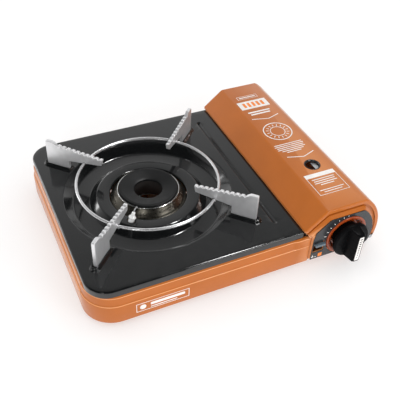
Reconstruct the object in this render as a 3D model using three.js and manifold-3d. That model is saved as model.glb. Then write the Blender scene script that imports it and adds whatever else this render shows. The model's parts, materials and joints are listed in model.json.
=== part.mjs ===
// Portable gas stove: a pressed steel body with a black drip pan and a lift-off pan support on the left,
// and a bay for a lying gas canister under a hinged lid on the right.
// Millimetres. x runs from the left wall, y from front (-) to back (+), z up from the tray's underside.
import * as THREE from "three";
import { mergeVertices } from "three/addons/utils/BufferGeometryUtils.js";
import Module from "manifold-3d";

const wasm = await Module();
wasm.setup();

// ---------------------------------------------------------------- driving dimensions
const gap = 0.3; // clearance between two pieces that touch
const sheet = 1; // pressed steel of the body

const bayX = 303.5; // axis of the canister, the regulator and the knob
const bodyDepth = 270; // outer face of the front wall to that of the back wall
const wallCorner = 34.4; // plan radius of the two left corners
const beadLow = 24; // pressed band along the walls
const beadHigh = 36.5;
const beadDepth = 1.4;
const shoulderTop = 39.6; // where the wall has turned in under the pan
const shoulderInset = 5.2;
const beadStop = 15.6; // the band runs out this far before the control end

const footHeight = 7;
const footRadius = 9;
const footInset = 30;

const deckZ = 46.8; // top of the drip pan
const deckInset = 2.85;
const deckCorner = 26;
const deckReach = 52.5; // the pan's right rim to the bay's axis
const deckRim = 4.2; // depth of the pan's turned-down rim
const deckEdgeRadius = 2;

const burnerX = 114.4;
const rimRadius = 99.6; // round recess in the pan
const troughOuter = 88.4;
const troughInner = 70;
const troughZ = 34.4;
const crestRadius = 60.4; // raised ring round the burner
const crestZ = 43.7;
const burnerHole = 45.6;

const ridgeHeight = 3.4; // pressed ridges in the pan, under the support plates
const ridgeWidth = 8; // across the flat top
const ridgeSlope = 2; // run of the sloped sides
const ridgeLead = 3.4; // recess rim to the flat top's inner end
const slotDepth = 2; // sockets of the plates in the ridges
const slotClearance = 0.8;
const slotPlay = 3.3; // past the plate's outer end

const legOuter = 133.2; // pan support plates, radii from the burner's axis
const legTip = 58;
const legFootInner = 103.5;
const legThickness = 4.4;
const legHeight = 35.5; // heights above the pan: flat shoulder, root of the teeth, tip, stepped underside
const legToothRoot = 32.3;
const legTipTop = 27.5;
const legTipBottom = 19.2;
const legStep = 13.2;
const legShoulder = 9.2;
const legSlope = 4.5;
const teeth = 10;
const toothDepth = 1.5;
const ringRadius = 82.4;
const ringZ = 62.4;
const wireRadius = 2;

const capRadius = 34.6;
const capHole = 16.6;
const capTop = 53.1;
const capDish = 3.3; // the cap's top dips towards its hole
const capRim = 3; // height of the cap's rim above the ports
const portCount = 16;
const lipWide = 2; // bright lip round the cap
const burnerWall = 1.6;
const burnerFloor = 26;

const lidReach = 54.9; // the lid's left edge to the bay's axis
const lidLow = 50.2;
const lidTop = 71.7;
const lidShoulder = 29.4; // the slope meets the top this far left of the bay's axis
const flankOffset = 10; // centre of the round flank, left of the bay's axis
const flankZ = 22.5;
const flankRadius = 59.4;
const lidBottom = 1.2;
const lidEnd = 134.7; // half length of the lid
const lipWidth = 5;
const peepRadius = 9.3; // round window in the lid
const peepOffset = 1.4;
const peepY = -56.6;
const hingeReach = 42; // hinge axis to the bay's axis
const hingeZ = 8;
const pinRadius = 1.5;
const pinHead = 1.2; // thickness of the hinge pins' heads
const earRadius = 3.4;

const bossProud = 3; // the control end stands out from the front wall
const bossInset = 7.6;
const bossBevel = 3.2;
const bossBottom = 3;
const fasciaSheet = 0.8;
const fasciaInset = 11.2;
const fasciaBottom = 5;
const knobZ = 29.5;
const collarOuter = 26.6;
const collarInner = 21.6;
const collarProud = 2.2;
const knobReach = 30; // front of the knob's grip ahead of the front wall
const knobRadius = 23;
const hubRadius = 18.6;
const gripHeight = 42;
const gripFront = 8;
const gripRoot = 15;
const spindleRadius = 4;

const canisterZ = 37.2; // axis of a lying canister
const canisterRadius = 33;
const leverZ = 28.4;
const leverWidth = 13;
const leverPlay = 0.8; // to each side of the lever in its slot
const leverLand = 2; // cover left between the collar and the lever's slot
const leverReach = 8; // handle's end ahead of the front wall
const leverTipLength = 3.7;
const leverPivotY = -113;
const leverPivotZ = 14;
const leverArm = 15; // pivot to the pin that drives the pusher
const leverTravel = 20; // degrees

const footFlange = 9; // the walls' lower edge, turned in under the floor
const seamLand = 1.7; // control end left between the lever's slot and the seam
const trayReach = 34;
const footNeck = 4;
const floorRib = 62;
const floorRibPitch = 24;
const ventCount = 9;
const ventPitch = 16;
const ventWidth = 10;
const ventLow = 8;
const ventHeight = 3;
const bossHalfWidth = 5.5; // oval bosses in the pan's trough
const bossHalfLength = 15;
const bossHeight = 1.4;
const grooveInset = 25.6; // long groove in the pan, beside the lid
const grooveHalf = 107;
const grooveWidth = 3.4;
const grooveDepth = 1.2;
const electrodeX = 80; // where the leaning electrode passes the pan
const electrodeY = -37.2;
const electrodeRadius = 3.6;
const electrodeLean = 16; // degrees
const electrodeRise = 11.2; // ceramic above the pan, along the lean
const tubeRadius = 6.6; // mixing tube
const tubeBore = 5.6;
const tubeZ = 15;
const tubeInset = 39; // the tube's mouth, left of the pan's right rim
const pipeRadius = 2;
const leadRadius = 1.2;
const regulatorRadius = 24;
const regulatorZ = 33;
const igniterRadius = 7;
const railSheet = 1.2;
const railLow = 23;
const railHigh = 35;
const railEnd = 92; // stop behind the canister
const cradleHalf = 84; // half length of the canister's cradle
const cradleSpread = 46; // degrees to each side
const cradleWindow = 40;
const bracketHalf = 17; // half width of the regulator's bracket
const bracketHeight = 20;
const socketRadius = 17;
const louvreCount = 6;
const louvrePitch = 30;
const louvreLength = 20;
const louvreZ = 38;
const louvreHeight = 3;
const hookWidth = 8;
const armLength = 24; // the spindle's igniter arm
const armRise = 32; // degrees above level

const roundSides = 24; // facets of the pan's and the burner's rings

// ---------------------------------------------------------------- derived sizes
const half = bodyDepth / 2;
const leverX = bayX - collarOuter - leverLand - leverPlay - leverWidth / 2;
const slotLeft = leverX - leverWidth / 2 - leverPlay;
const slotRight = leverX + leverWidth / 2 + leverPlay;
const seamX = slotLeft - seamLand; // front panel meets the control end
const beadEnd = seamX - beadStop;
const deckRight = bayX - deckReach;
const grooveX = deckRight - grooveInset;
const tubeEnd = deckRight - tubeInset;
const trayRight = bayX + trayReach;
const lidLeft = bayX - lidReach;
const lidShoulderX = bayX - lidShoulder;
const hingeX = bayX + hingeReach;
const flankX = bayX - flankOffset;
const flankReach = flankX + flankRadius;
const backReach = lidEnd + gap + pinHead;
const burnerY = 0;
const wallTop = deckZ - sheet - gap;
const trayTop = 2 * sheet + gap;
const bossFace = -half - bossProud;
const knobFront = -half - knobReach;
const partitionX = deckRight + 3.6;
const endWallY = lidEnd - sheet - 0.8; // outer face of the end walls, behind the lid's lips
const slotFloor = deckZ + ridgeHeight - slotDepth;
const legFootZ = slotFloor + gap;
const legTopZ = deckZ + legHeight;

// ---------------------------------------------------------------- solids
// A closed geometry as a solid that can be joined and cut.
function solid(geometry) {
  const bare = geometry.index ? geometry.toNonIndexed() : geometry.clone();
  bare.deleteAttribute("normal");
  bare.deleteAttribute("uv");
  const merged = mergeVertices(bare, 1e-4);
  const index = merged.index.array;
  const faces = [];
  for (let i = 0; i < index.length; i += 3) {
    const [a, b, c] = index.subarray(i, i + 3);
    if (a !== b && b !== c && c !== a) faces.push(a, b, c);
  }
  const vertProperties = merged.attributes.position.array;
  return new wasm.Manifold(new wasm.Mesh({ numProp: 3, vertProperties, triVerts: new Uint32Array(faces) }));
}

function geometryOf(made) {
  const { numProp, vertProperties, triVerts } = made.getMesh();
  const points = new Float32Array((vertProperties.length / numProp) * 3);
  for (let i = 0; i < points.length / 3; i++)
    points.set(vertProperties.subarray(i * numProp, i * numProp + 3), i * 3);
  const geometry = new THREE.BufferGeometry();
  geometry.setAttribute("position", new THREE.BufferAttribute(points, 3));
  geometry.setIndex(new THREE.BufferAttribute(new Uint32Array(triVerts), 1));
  geometry.computeVertexNormals();
  return geometry;
}

const join = (...solids) => solids.reduce((a, b) => a.add(b));
const cut = (whole, ...tools) => tools.reduce((a, b) => a.subtract(b), whole);

// A closed outline through corners [x, y, radius]; a radius rounds its corner with an arc.
function outline(corners) {
  const shape = new THREE.Shape();
  const point = ([x, y]) => new THREE.Vector2(x, y);
  corners.forEach((corner, i) => {
    const at = point(corner);
    const radius = corner[2] ?? 0;
    const step = (x, y) => (i ? shape.lineTo(x, y) : shape.moveTo(x, y));
    if (!radius) {
      step(at.x, at.y);
      return;
    }
    const back = point(corners.at(i - 1)).sub(at).normalize();
    const on = point(corners[(i + 1) % corners.length]).sub(at).normalize();
    const angle = Math.acos(THREE.MathUtils.clamp(back.dot(on), -1, 1)) / 2;
    const start = at.clone().addScaledVector(back, radius / Math.tan(angle));
    const end = at.clone().addScaledVector(on, radius / Math.tan(angle));
    const centre = at.clone().addScaledVector(back.clone().add(on).normalize(), radius / Math.sin(angle));
    step(start.x, start.y);
    const from = start.sub(centre).angle();
    const to = end.sub(centre).angle();
    shape.absarc(centre.x, centre.y, radius, from, to, back.cross(on) > 0);
  });
  return shape;
}

const rectangle = (x0, y0, x1, y1, radius = 0) =>
  outline([[x0, y0, radius], [x1, y0, radius], [x1, y1, radius], [x0, y1, radius]]);

function disc(x, y, radius) {
  return new THREE.Shape().absarc(x, y, radius, 0, 2 * Math.PI, false);
}

// An outline pushed along one axis, from its first to its second limit.
function extrude(shape, length, origin, xAxis, yAxis, options) {
  const geometry = new THREE.ExtrudeGeometry(shape, {
    depth: length,
    bevelEnabled: false,
    curveSegments: 3,
    ...options,
  });
  const zAxis = new THREE.Vector3().crossVectors(xAxis, yAxis);
  const frame = new THREE.Matrix4().makeBasis(xAxis, yAxis, zAxis).setPosition(origin);
  return solid(geometry.applyMatrix4(frame));
}

const X = new THREE.Vector3(1, 0, 0);
const Y = new THREE.Vector3(0, 1, 0);
const Z = new THREE.Vector3(0, 0, 1);

const upright = (shape, z0, z1, options) => // outline in x and y
  extrude(shape, z1 - z0, new THREE.Vector3(0, 0, z0), X, Y, options);
const frontal = (shape, y0, y1, options) => // outline in x and z
  extrude(shape, y1 - y0, new THREE.Vector3(0, y1, 0), X, Z, options);
const sideways = (shape, x0, x1, options) => // outline in y and z
  extrude(shape, x1 - x0, new THREE.Vector3(x0, 0, 0), Y, Z, options);

const block = (x0, x1, y0, y1, z0, z1) =>
  solid(
    new THREE.BoxGeometry(x1 - x0, y1 - y0, z1 - z0).translate((x0 + x1) / 2, (y0 + y1) / 2, (z0 + z1) / 2),
  );

// A ring or a round body from its section, as [radius, height] corners, about the upright axis.
function lathe(profile, segments) {
  const points = [...profile, profile[0]].map(([r, h]) => new THREE.Vector2(r, h));
  if (THREE.ShapeUtils.area(points) < 0) points.reverse();
  return new THREE.LatheGeometry(points, segments);
}

const turned = (profile, x, y, segments = 24) =>
  solid(lathe(profile, segments).rotateX(Math.PI / 2).translate(x, y, 0));

// The same about a front-to-back axis through x, z; heights count forward from the front wall's face.
const turnedForward = (profile, x, z, segments = 24) =>
  solid(lathe(profile, segments).rotateX(Math.PI).translate(x, -half, z));

const upPin = (x, y, z0, z1, radius, segments = 16) =>
  upright(disc(x, y, radius), z0, z1, { curveSegments: segments / 2 });
const backPin = (x, z, y0, y1, radius, segments = 16) =>
  frontal(disc(x, z, radius), y0, y1, { curveSegments: segments / 2 });
const sidePin = (y, z, x0, x1, radius, segments = 12) =>
  sideways(disc(y, z, radius), x0, x1, { curveSegments: segments / 2 });

// A round tube or rod along points; a bore makes it hollow.
function piped(points, radius, steps, sides, bore = 0) {
  const section = disc(0, 0, radius);
  if (bore) section.holes.push(new THREE.Path().absarc(0, 0, bore, 0, 2 * Math.PI, true));
  const path = new THREE.CatmullRomCurve3(points.map((p) => new THREE.Vector3(...p)), false, "centripetal");
  const options = { extrudePath: path, steps, curveSegments: sides / 2, bevelEnabled: false };
  return solid(new THREE.ExtrudeGeometry(section, options));
}

// ---------------------------------------------------------------- finishes
const finish = (color, roughness, metalness) =>
  new THREE.MeshStandardMaterial({ color, roughness, metalness });
const orangePaint = () => finish(0xc57640, 0.38, 0.35);
const blackEnamel = () => finish(0x2b2c2e, 0.22, 0.1);
const blackPlastic = () => finish(0x1c1d1f, 0.45, 0);
const chrome = () => finish(0xd6d8da, 0.16, 1);
const zincSteel = () => finish(0xa9adb0, 0.42, 0.9);
const bareAluminium = () => finish(0xb4b6b8, 0.4, 0.85);
const brass = () => finish(0xb28a46, 0.3, 1);
const blackRubber = () => finish(0x202020, 0.85, 0);
const ceramic = () => finish(0xf2f2ee, 0.35, 0);
const silicone = () => finish(0x8e2a20, 0.6, 0);

const stove = new THREE.Group();
stove.position.set(-flankReach / 2, (half + knobReach - backReach) / 2, footHeight);

function place(name, made, material, group = stove) {
  const mesh = new THREE.Mesh(geometryOf(made), material);
  mesh.name = name;
  group.add(mesh);
}

// ---------------------------------------------------------------- body walls
// Section of a wall as [inset from the outer face, height]: foot flange, pressed band, shoulder, ledge.
function wallSection(band) {
  return [
    [0, 0],
    [0, beadLow],
    [band, beadLow + band],
    [band, beadHigh],
    [shoulderInset, shoulderTop],
    [shoulderInset, wallTop],
    [shoulderInset + sheet, wallTop],
    [shoulderInset + sheet, shoulderTop - sheet / 2],
    [band + sheet, beadHigh - sheet / 2],
    [band + sheet, beadLow + band - sheet / 2],
    [sheet, beadLow - sheet / 2],
    [sheet, sheet],
    [footFlange, sheet],
    [footFlange, 0],
  ];
}

// A closed section carried along a plan path of stations { x, y, inward (degrees), section },
// clockwise from above.
function swept(stations) {
  const rings = stations.map(({ x, y, inward, section }) => {
    const angle = THREE.MathUtils.degToRad(inward);
    return section.map(([inset, z]) => [x + inset * Math.cos(angle), y + inset * Math.sin(angle), z]);
  });
  const count = rings[0].length;
  const faces = [];
  for (let i = 0; i < rings.length - 1; i++)
    for (let j = 0; j < count; j++) {
      const k = (j + 1) % count;
      const [a, b, c, d] = [i * count + j, i * count + k, (i + 1) * count + k, (i + 1) * count + j];
      faces.push(a, b, c, a, c, d);
    }
  const flat = stations[0].section.map(([inset, z]) => new THREE.Vector2(inset, z));
  const end = (rings.length - 1) * count;
  const flip = THREE.ShapeUtils.area(flat) < 0;
  for (const [a, b, c] of THREE.ShapeUtils.triangulateShape(flat, [])) {
    faces.push(a, flip ? b : c, flip ? c : b);
    faces.push(end + a, end + (flip ? c : b), end + (flip ? b : c));
  }
  const geometry = new THREE.BufferGeometry();
  geometry.setAttribute("position", new THREE.Float32BufferAttribute(rings.flat(2), 3));
  geometry.setIndex(faces);
  return geometry;
}

// Stations round a left corner of the body; side is -1 in front, 1 behind.
function cornerStations(section, side, steps = 6) {
  return Array.from({ length: steps + 1 }, (_, i) => {
    const inward = (-side * 90 * i) / steps;
    const angle = THREE.MathUtils.degToRad(inward);
    return {
      x: wallCorner * (1 - Math.cos(angle)),
      y: side * (half - wallCorner) - wallCorner * Math.sin(angle),
      inward,
      section,
    };
  });
}

const notchX = deckRight - sheet - 2 * gap; // the walls step down here, beside the pan's right rim
const shoulderNotch = (y) =>
  block(notchX, seamX, y - footFlange - 1, y + footFlange + 1, beadHigh + 1.5, deckZ);

// Wraps the front left corner; the band runs out before the control end.
function frontPanel() {
  const banded = wallSection(beadDepth);
  const flat = wallSection(0.02);
  const wall = swept([
    { x: seamX - gap, y: -half, inward: 90, section: flat },
    { x: beadEnd, y: -half, inward: 90, section: flat },
    { x: beadEnd - 8, y: -half, inward: 90, section: banded },
    ...cornerStations(banded, -1).reverse(),
  ]);
  return cut(solid(wall), shoulderNotch(-half));
}

// Left wall, back left corner and back wall in one sheet, with vent louvres low in the back.
function backPanel() {
  const section = wallSection(beadDepth);
  const wall = swept([
    { x: 0, y: wallCorner - half + gap, inward: 0, section },
    ...cornerStations(section, 1),
    { x: seamX - gap, y: half, inward: -90, section },
  ]);
  const vents = Array.from({ length: ventCount }, (_, i) => {
    const x = burnerX + (i - (ventCount - 1) / 2) * ventPitch;
    return block(x, x + ventWidth, half - 3, half + 1, ventLow, ventLow + ventHeight);
  });
  return cut(solid(wall), ...vents, shoulderNotch(half));
}

// ---------------------------------------------------------------- floor
const feet = [
  ["front_left", footInset, footInset - half],
  ["front_right", seamX + footInset, footInset - half],
  ["back_left", footInset, half - footInset],
  ["back_right", seamX + footInset, half - footInset],
];

// The floor carries the burner; it lies on the walls' foot flanges and has pressed stiffening ribs.
function bottomTray() {
  const inset = sheet + gap;
  const wide = half - inset;
  const narrow = endWallY - sheet - gap;
  const floor = upright(
    outline([
      [inset, -wide, wallCorner - inset],
      [seamX - gap, -wide],
      [seamX - gap, -narrow],
      [trayRight, -narrow, 3],
      [trayRight, narrow, 3],
      [seamX - gap, narrow],
      [seamX - gap, wide],
      [inset, wide, wallCorner - inset],
    ]),
    trayTop - sheet,
    trayTop,
  );
  const ribs = [0, 1].map((i) => {
    const r = floorRib + i * floorRibPitch;
    return turned(
      [
        [r - 2.5, trayTop - sheet / 2],
        [r - 1, trayTop + 1.2],
        [r + 1, trayTop + 1.2],
        [r + 2.5, trayTop - sheet / 2],
      ],
      burnerX,
      burnerY,
      20,
    );
  });
  const slots = Array.from({ length: 8 }, (_, i) =>
    solid(
      new THREE.BoxGeometry(floorRibPitch - 8, 4, 6)
        .translate(floorRib + floorRibPitch / 2, 0, trayTop)
        .rotateZ((i + 0.5) * (Math.PI / 4))
        .translate(burnerX, burnerY, 0),
    ),
  );
  const holes = feet.map(([, x, y]) => upPin(x, y, 0, trayTop + 1, footNeck + gap, 12));
  return cut(join(floor, ...ribs), ...slots, ...holes);
}

// Push-in rubber foot: its neck passes the floor and its head locks above it.
function rubberFoot(x, y) {
  return turned(
    [
      [0, -footHeight],
      [footRadius - 1.5, -footHeight],
      [footRadius, -footHeight + 1.5],
      [footRadius - 0.5, trayTop - sheet - gap],
      [footNeck, trayTop - sheet - gap],
      [footNeck, trayTop + gap],
      [footNeck + 1.6, trayTop + gap],
      [footNeck - 1, trayTop + 3],
      [0, trayTop + 3],
    ],
    x,
    y,
    12,
  );
}

// ---------------------------------------------------------------- drip pan
const diagonals = [45, 135, 225, 315];

// A piece drawn along +x from the burner's axis, turned to an angle about it.
function aboutBurner(geometry, degrees) {
  return solid(geometry.rotateZ(THREE.MathUtils.degToRad(degrees)).translate(burnerX, burnerY, 0));
}

const slotWidth = legThickness + 2 * slotClearance;
const ridgeStart = rimRadius + ridgeLead;
const ridgeEnd = legOuter + slotPlay + sheet;

// A bar drawn out from the burner's axis, with a round outer end.
const bar = (start, end, width) =>
  outline([
    [start, -width / 2],
    [end, -width / 2, width / 2.1],
    [end, width / 2, width / 2.1],
    [start, width / 2],
  ]);

// Ridge with sloped sides that rises from the pan's sheet at a plate's angle.
function ridge(degrees, shrink, top) {
  const depth = 2 * sheet;
  const rise = top - deckZ + shrink;
  const run = (ridgeSlope * rise) / ridgeHeight;
  const geometry = new THREE.ExtrudeGeometry(bar(ridgeStart + 2 * shrink, ridgeEnd - shrink, ridgeWidth), {
    depth,
    bevelThickness: rise,
    bevelSize: run,
    bevelSegments: 1,
    curveSegments: 3,
  });
  const made = aboutBurner(geometry.translate(0, 0, top - rise - depth), degrees);
  return cut(made, block(-half, bayX, -half, half, 0, deckZ - sheet / 2 - shrink));
}

// Slot for a plate's foot, open towards the recess.
function socket(degrees) {
  const shape = bar(rimRadius, legOuter + slotPlay, slotWidth);
  const options = { depth: deckZ, bevelEnabled: false, curveSegments: 3 };
  const geometry = new THREE.ExtrudeGeometry(shape, options);
  return aboutBurner(geometry.translate(0, 0, slotFloor), degrees);
}

// A low oval boss in the trough, under each support plate.
function troughBoss(degrees) {
  const shape = new THREE.Shape().absellipse(0, 0, bossHalfWidth, bossHalfLength, 0, 2 * Math.PI, false, 0);
  const geometry = new THREE.ExtrudeGeometry(shape, {
    depth: sheet,
    bevelThickness: bossHeight,
    bevelSize: bossHeight * 1.4,
    bevelOffset: -bossHeight * 1.4,
    bevelSegments: 1,
    curveSegments: 3,
  });
  const middle = (troughOuter + troughInner) / 2;
  return aboutBurner(geometry.translate(middle, 0, troughZ - sheet), degrees);
}

function dripPan() {
  const corners = (inset, left, right) => [
    [left + inset, inset - half + deckInset, deckCorner - inset],
    [right - inset, inset - half + deckInset, 3],
    [right - inset, half - deckInset - inset, 3],
    [left + inset, half - deckInset - inset, deckCorner - inset],
  ];
  const round = { bevelEnabled: true, bevelThickness: deckEdgeRadius, bevelSize: deckEdgeRadius };
  const slab = upright(
    outline(corners(deckEdgeRadius, deckInset, deckRight)),
    deckZ - deckRim - deckEdgeRadius,
    deckZ - deckEdgeRadius,
    { ...round, bevelSegments: 2, curveSegments: 3 },
  );
  const within = outline(corners(sheet, deckInset, deckRight));
  const inside = upright(within, 0, deckZ - sheet, { curveSegments: 3 });
  const deck = cut(
    slab,
    inside,
    block(-1, deckRight + 1, -half, half, 0, deckZ - deckRim),
    upPin(burnerX, burnerY, 0, deckZ + 1, rimRadius + 1.5, roundSides),
  );
  const bowl = turned(
    [
      [rimRadius + 2.5, deckZ],
      [rimRadius, deckZ],
      [rimRadius - 1.6, deckZ - 0.9],
      [troughOuter + 1.4, troughZ + 1.2],
      [troughOuter - 1, troughZ],
      [troughInner + 1, troughZ],
      [troughInner - 1.4, troughZ + 1.4],
      [crestRadius + 1, crestZ - 0.8],
      [crestRadius - 1, crestZ],
      [burnerHole + 0.6, crestZ - 0.6],
      [burnerHole, crestZ - 1.6],
      [burnerHole, crestZ - 4],
      [burnerHole + sheet, crestZ - 4],
      [burnerHole + sheet, crestZ - 0.6 - sheet],
      [crestRadius - 0.8, crestZ - sheet],
      [troughInner - 1.2, troughZ - sheet],
      [troughOuter + 0.8, troughZ - sheet],
      [rimRadius - 0.6, deckZ - 2],
      [rimRadius + 2.5, deckZ - sheet],
    ],
    burnerX,
    burnerY,
    roundSides,
  );
  const ridges = diagonals.map((a) => ridge(a, 0, deckZ + ridgeHeight));
  const hollows = diagonals.map((a) => ridge(a, sheet, slotFloor - sheet));
  const groovePad = upright(
    rectangle(grooveX - sheet, -grooveHalf - sheet, grooveX + grooveWidth + sheet, grooveHalf + sheet),
    deckZ - grooveDepth - sheet,
    deckZ - sheet / 2,
  );
  const groove = upright(
    rectangle(grooveX, -grooveHalf, grooveX + grooveWidth, grooveHalf, grooveWidth / 2.1),
    deckZ - grooveDepth,
    deckZ + 1,
  );
  const holeFloor = crestZ - 6;
  const holeTop = crestZ + 2;
  const electrodeHole = join(
    upPin(electrodeX, electrodeY, holeFloor, holeTop, electrodeRadius + 1.4, 16),
    upPin((electrodeX + burnerX) / 2, (electrodeY + burnerY) / 2, holeFloor, holeTop, burnerHole / 2, 16),
  );
  return cut(
    join(deck, bowl, groovePad, ...ridges, ...diagonals.map(troughBoss)),
    ...hollows,
    ...diagonals.map(socket),
    groove,
    electrodeHole,
  );
}

// ---------------------------------------------------------------- pan support
// One plate in its own plane as [radius, height]: foot, stepped underside, blunt tip, toothed upper edge.
function plateOutline() {
  const tipTop = deckZ + legTipTop;
  const tipBottom = deckZ + legTipBottom;
  const stepZ = deckZ + legStep;
  const shoulderIn = legOuter - legShoulder;
  const root = shoulderIn - legSlope;
  const rootZ = deckZ + legToothRoot;
  const pitch = (root - legTip) / teeth;
  const crest = (r) => tipTop + ((rootZ - tipTop) * (r - legTip)) / (root - legTip);
  const corners = [
    [legOuter, legFootZ, 0.8],
    [legOuter, legTopZ, 1.4],
    [shoulderIn, legTopZ, 1.2],
    [root, rootZ],
  ];
  for (let i = 0; i < teeth; i++) {
    const start = root - i * pitch;
    corners.push(
      [start - pitch * 0.12, crest(start - pitch * 0.12) - toothDepth],
      [start - pitch * 0.3, crest(start - pitch * 0.3) - toothDepth],
      [start - pitch * 0.48, crest(start - pitch * 0.48)],
      [start - pitch, crest(start - pitch)],
    );
  }
  corners.push(
    [legTip + toothDepth, tipBottom, 2],
    [legFootInner, stepZ, 0.8],
    [legFootInner, legFootZ, 0.8],
  );
  return corners;
}

// The wire ring lies in a notch under each plate and is welded there.
function supportPlate(degrees) {
  const geometry = new THREE.ExtrudeGeometry(outline(plateOutline()), {
    depth: legThickness,
    bevelEnabled: false,
    curveSegments: 2,
  });
  geometry.translate(0, 0, -legThickness / 2).rotateX(Math.PI / 2);
  return cut(aboutBurner(geometry, degrees), wireRing(wireRadius + gap, 6, 40));
}

function wireRing(radius, sides, segments) {
  const torus = new THREE.TorusGeometry(ringRadius, radius, sides, segments);
  return solid(torus.translate(burnerX, burnerY, ringZ));
}

// ---------------------------------------------------------------- burner
const rimZ = capTop - capRim - gap; // the cap's rim rests here on the burner's outer wall
const bodyOuter = capRadius + gap;
const bodyInner = capHole + 1.2;
const bodyMiddle = (bodyOuter + bodyInner) / 2;
const innerSeat = capTop - capDish - 3; // and here on its inner wall

// Ring-shaped dished cap with flame ports cut under its outer edge.
function burnerCap() {
  const low = rimZ + gap;
  const inner = innerSeat + gap;
  const ring = turned(
    [
      [capHole, inner],
      [bodyInner + burnerWall + 1.6, inner],
      [bodyOuter - burnerWall - 1, inner + 1],
      [bodyOuter - burnerWall - 0.4, low],
      [capRadius, low],
      [capRadius, capTop - 0.7],
      [capRadius - 0.8, capTop],
      [capRadius - 2.4, capTop],
      [capHole + 2.4, capTop - capDish + 0.6],
      [capHole, capTop - capDish - 0.3],
    ],
    burnerX,
    burnerY,
    roundSides,
  );
  const start = bodyOuter - burnerWall - 3;
  const length = capRadius + 1 - start;
  const ports = Array.from({ length: portCount }, (_, i) => {
    const port = new THREE.BoxGeometry(length, 1.4, 2).translate(start + length / 2, 0, low);
    return aboutBurner(port, (360 * (i + 0.5)) / portCount);
  });
  return cut(ring, ...ports);
}

// Ring-shaped trough that feeds the ports, with an inlet in its floor.
function burnerBody() {
  const trough = turned(
    [
      [bodyInner, burnerFloor],
      [bodyOuter - 1.5, burnerFloor],
      [bodyOuter, burnerFloor + 1.5],
      [bodyOuter, rimZ],
      [bodyOuter - burnerWall, rimZ],
      [bodyOuter - burnerWall, burnerFloor + burnerWall],
      [bodyInner + burnerWall, burnerFloor + burnerWall],
      [bodyInner + burnerWall, innerSeat],
      [bodyInner, innerSeat],
    ],
    burnerX,
    burnerY,
    roundSides,
  );
  return cut(trough, upPin(inletX, burnerY, burnerFloor - 1, burnerFloor + 3, tubeBore));
}

// Bright skirt round the burner: a lip beside the cap, then a flare down towards the pan's hole.
function burnerSkirt() {
  const inner = bodyOuter + gap;
  const lip = inner + lipWide;
  const flare = burnerHole - 0.7;
  const flareZ = crestZ - 4.3;
  const drop = rimZ - flareZ;
  return turned(
    [
      [inner, rimZ],
      [lip, rimZ],
      [lip + 0.5, rimZ - drop * 0.2],
      [lip + 1.6, rimZ - drop * 0.5],
      [lip + 3.6, rimZ - drop * 0.8],
      [flare, flareZ],
      [flare, flareZ - sheet],
      [lip + 2.6, rimZ - drop * 0.8 - sheet],
      [lip - 0.7, rimZ - drop * 0.4],
      [inner, rimZ - drop * 0.4],
    ],
    burnerX,
    burnerY,
    roundSides,
  );
}

const inletX = burnerX + bodyMiddle;
const bend = 8; // radius of the mixing tube's turn up into the burner
const mixingRoute = [
  [inletX, burnerY, burnerFloor - gap],
  [inletX, burnerY, tubeZ + bend],
  [inletX + bend * (1 - Math.SQRT1_2), burnerY, tubeZ + bend * (1 - Math.SQRT1_2)],
  [inletX + bend, burnerY, tubeZ],
  [tubeEnd - 30, burnerY, tubeZ],
  [tubeEnd, burnerY, tubeZ],
];

// Three-legged stand: a ring under the burner and legs with feet on the floor.
function burnerStand() {
  const top = burnerFloor - gap;
  const ring = turned(
    [[bodyInner, top - sheet], [bodyOuter, top - sheet], [bodyOuter, top], [bodyInner, top]],
    burnerX,
    burnerY,
    24,
  );
  const legs = [60, 180, 300].flatMap((angle) => {
    const inner = bodyOuter - 3;
    const foot = trayTop + gap;
    const leg = new THREE.BoxGeometry(sheet, 12, top - foot).translate(inner, 0, (top + foot) / 2);
    const toe = new THREE.BoxGeometry(9, 12, sheet).translate(inner + 4, 0, foot + sheet / 2);
    return [aboutBurner(leg, angle), aboutBurner(toe, angle)];
  });
  return cut(join(ring, ...legs), piped(mixingRoute, tubeRadius + gap, 10, 10));
}

// Sleeve with air windows between the mixing tube's mouth and the jet.
const shutterEnd = tubeEnd + 10.6;
function airShutter() {
  const bore = tubeRadius + gap;
  return cut(
    sidePin(burnerY, tubeZ, tubeEnd - 12, shutterEnd, bore + 1.3, 16),
    sidePin(burnerY, tubeZ, tubeEnd - 13, shutterEnd - 1.2, bore, 16),
    sidePin(burnerY, tubeZ, shutterEnd - 2, shutterEnd + 1, jetNeck + gap, 12),
    block(tubeEnd + 2, shutterEnd - 3, burnerY - 4, burnerY + 4, tubeZ - 10, tubeZ + 10),
    block(tubeEnd + 2, shutterEnd - 3, burnerY - 10, burnerY + 10, tubeZ - 3.5, tubeZ + 3.5),
  );
}

const jetNeck = 3;
const jetFlange = shutterEnd + gap + 1.5 + gap;
const jetEnd = jetFlange + 8;

function gasJet() {
  return join(
    sidePin(burnerY, tubeZ, shutterEnd - 6, jetFlange + 1, jetNeck),
    sidePin(burnerY, tubeZ, jetFlange, jetEnd, 6, 6),
  ).subtract(sidePin(burnerY, tubeZ, shutterEnd - 7, shutterEnd - 2, 0.8, 8));
}

function jetBracket() {
  const x = shutterEnd + gap;
  const foot = trayTop + gap;
  return cut(
    join(
      block(x, x + 1.5, burnerY - 9, burnerY + 9, foot, tubeZ + 9),
      block(x - 9, x + 1.5, burnerY - 9, burnerY + 9, foot, foot + 1.5),
    ),
    sidePin(burnerY, tubeZ, x - 1, x + 3, jetNeck + gap),
  );
}

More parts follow.
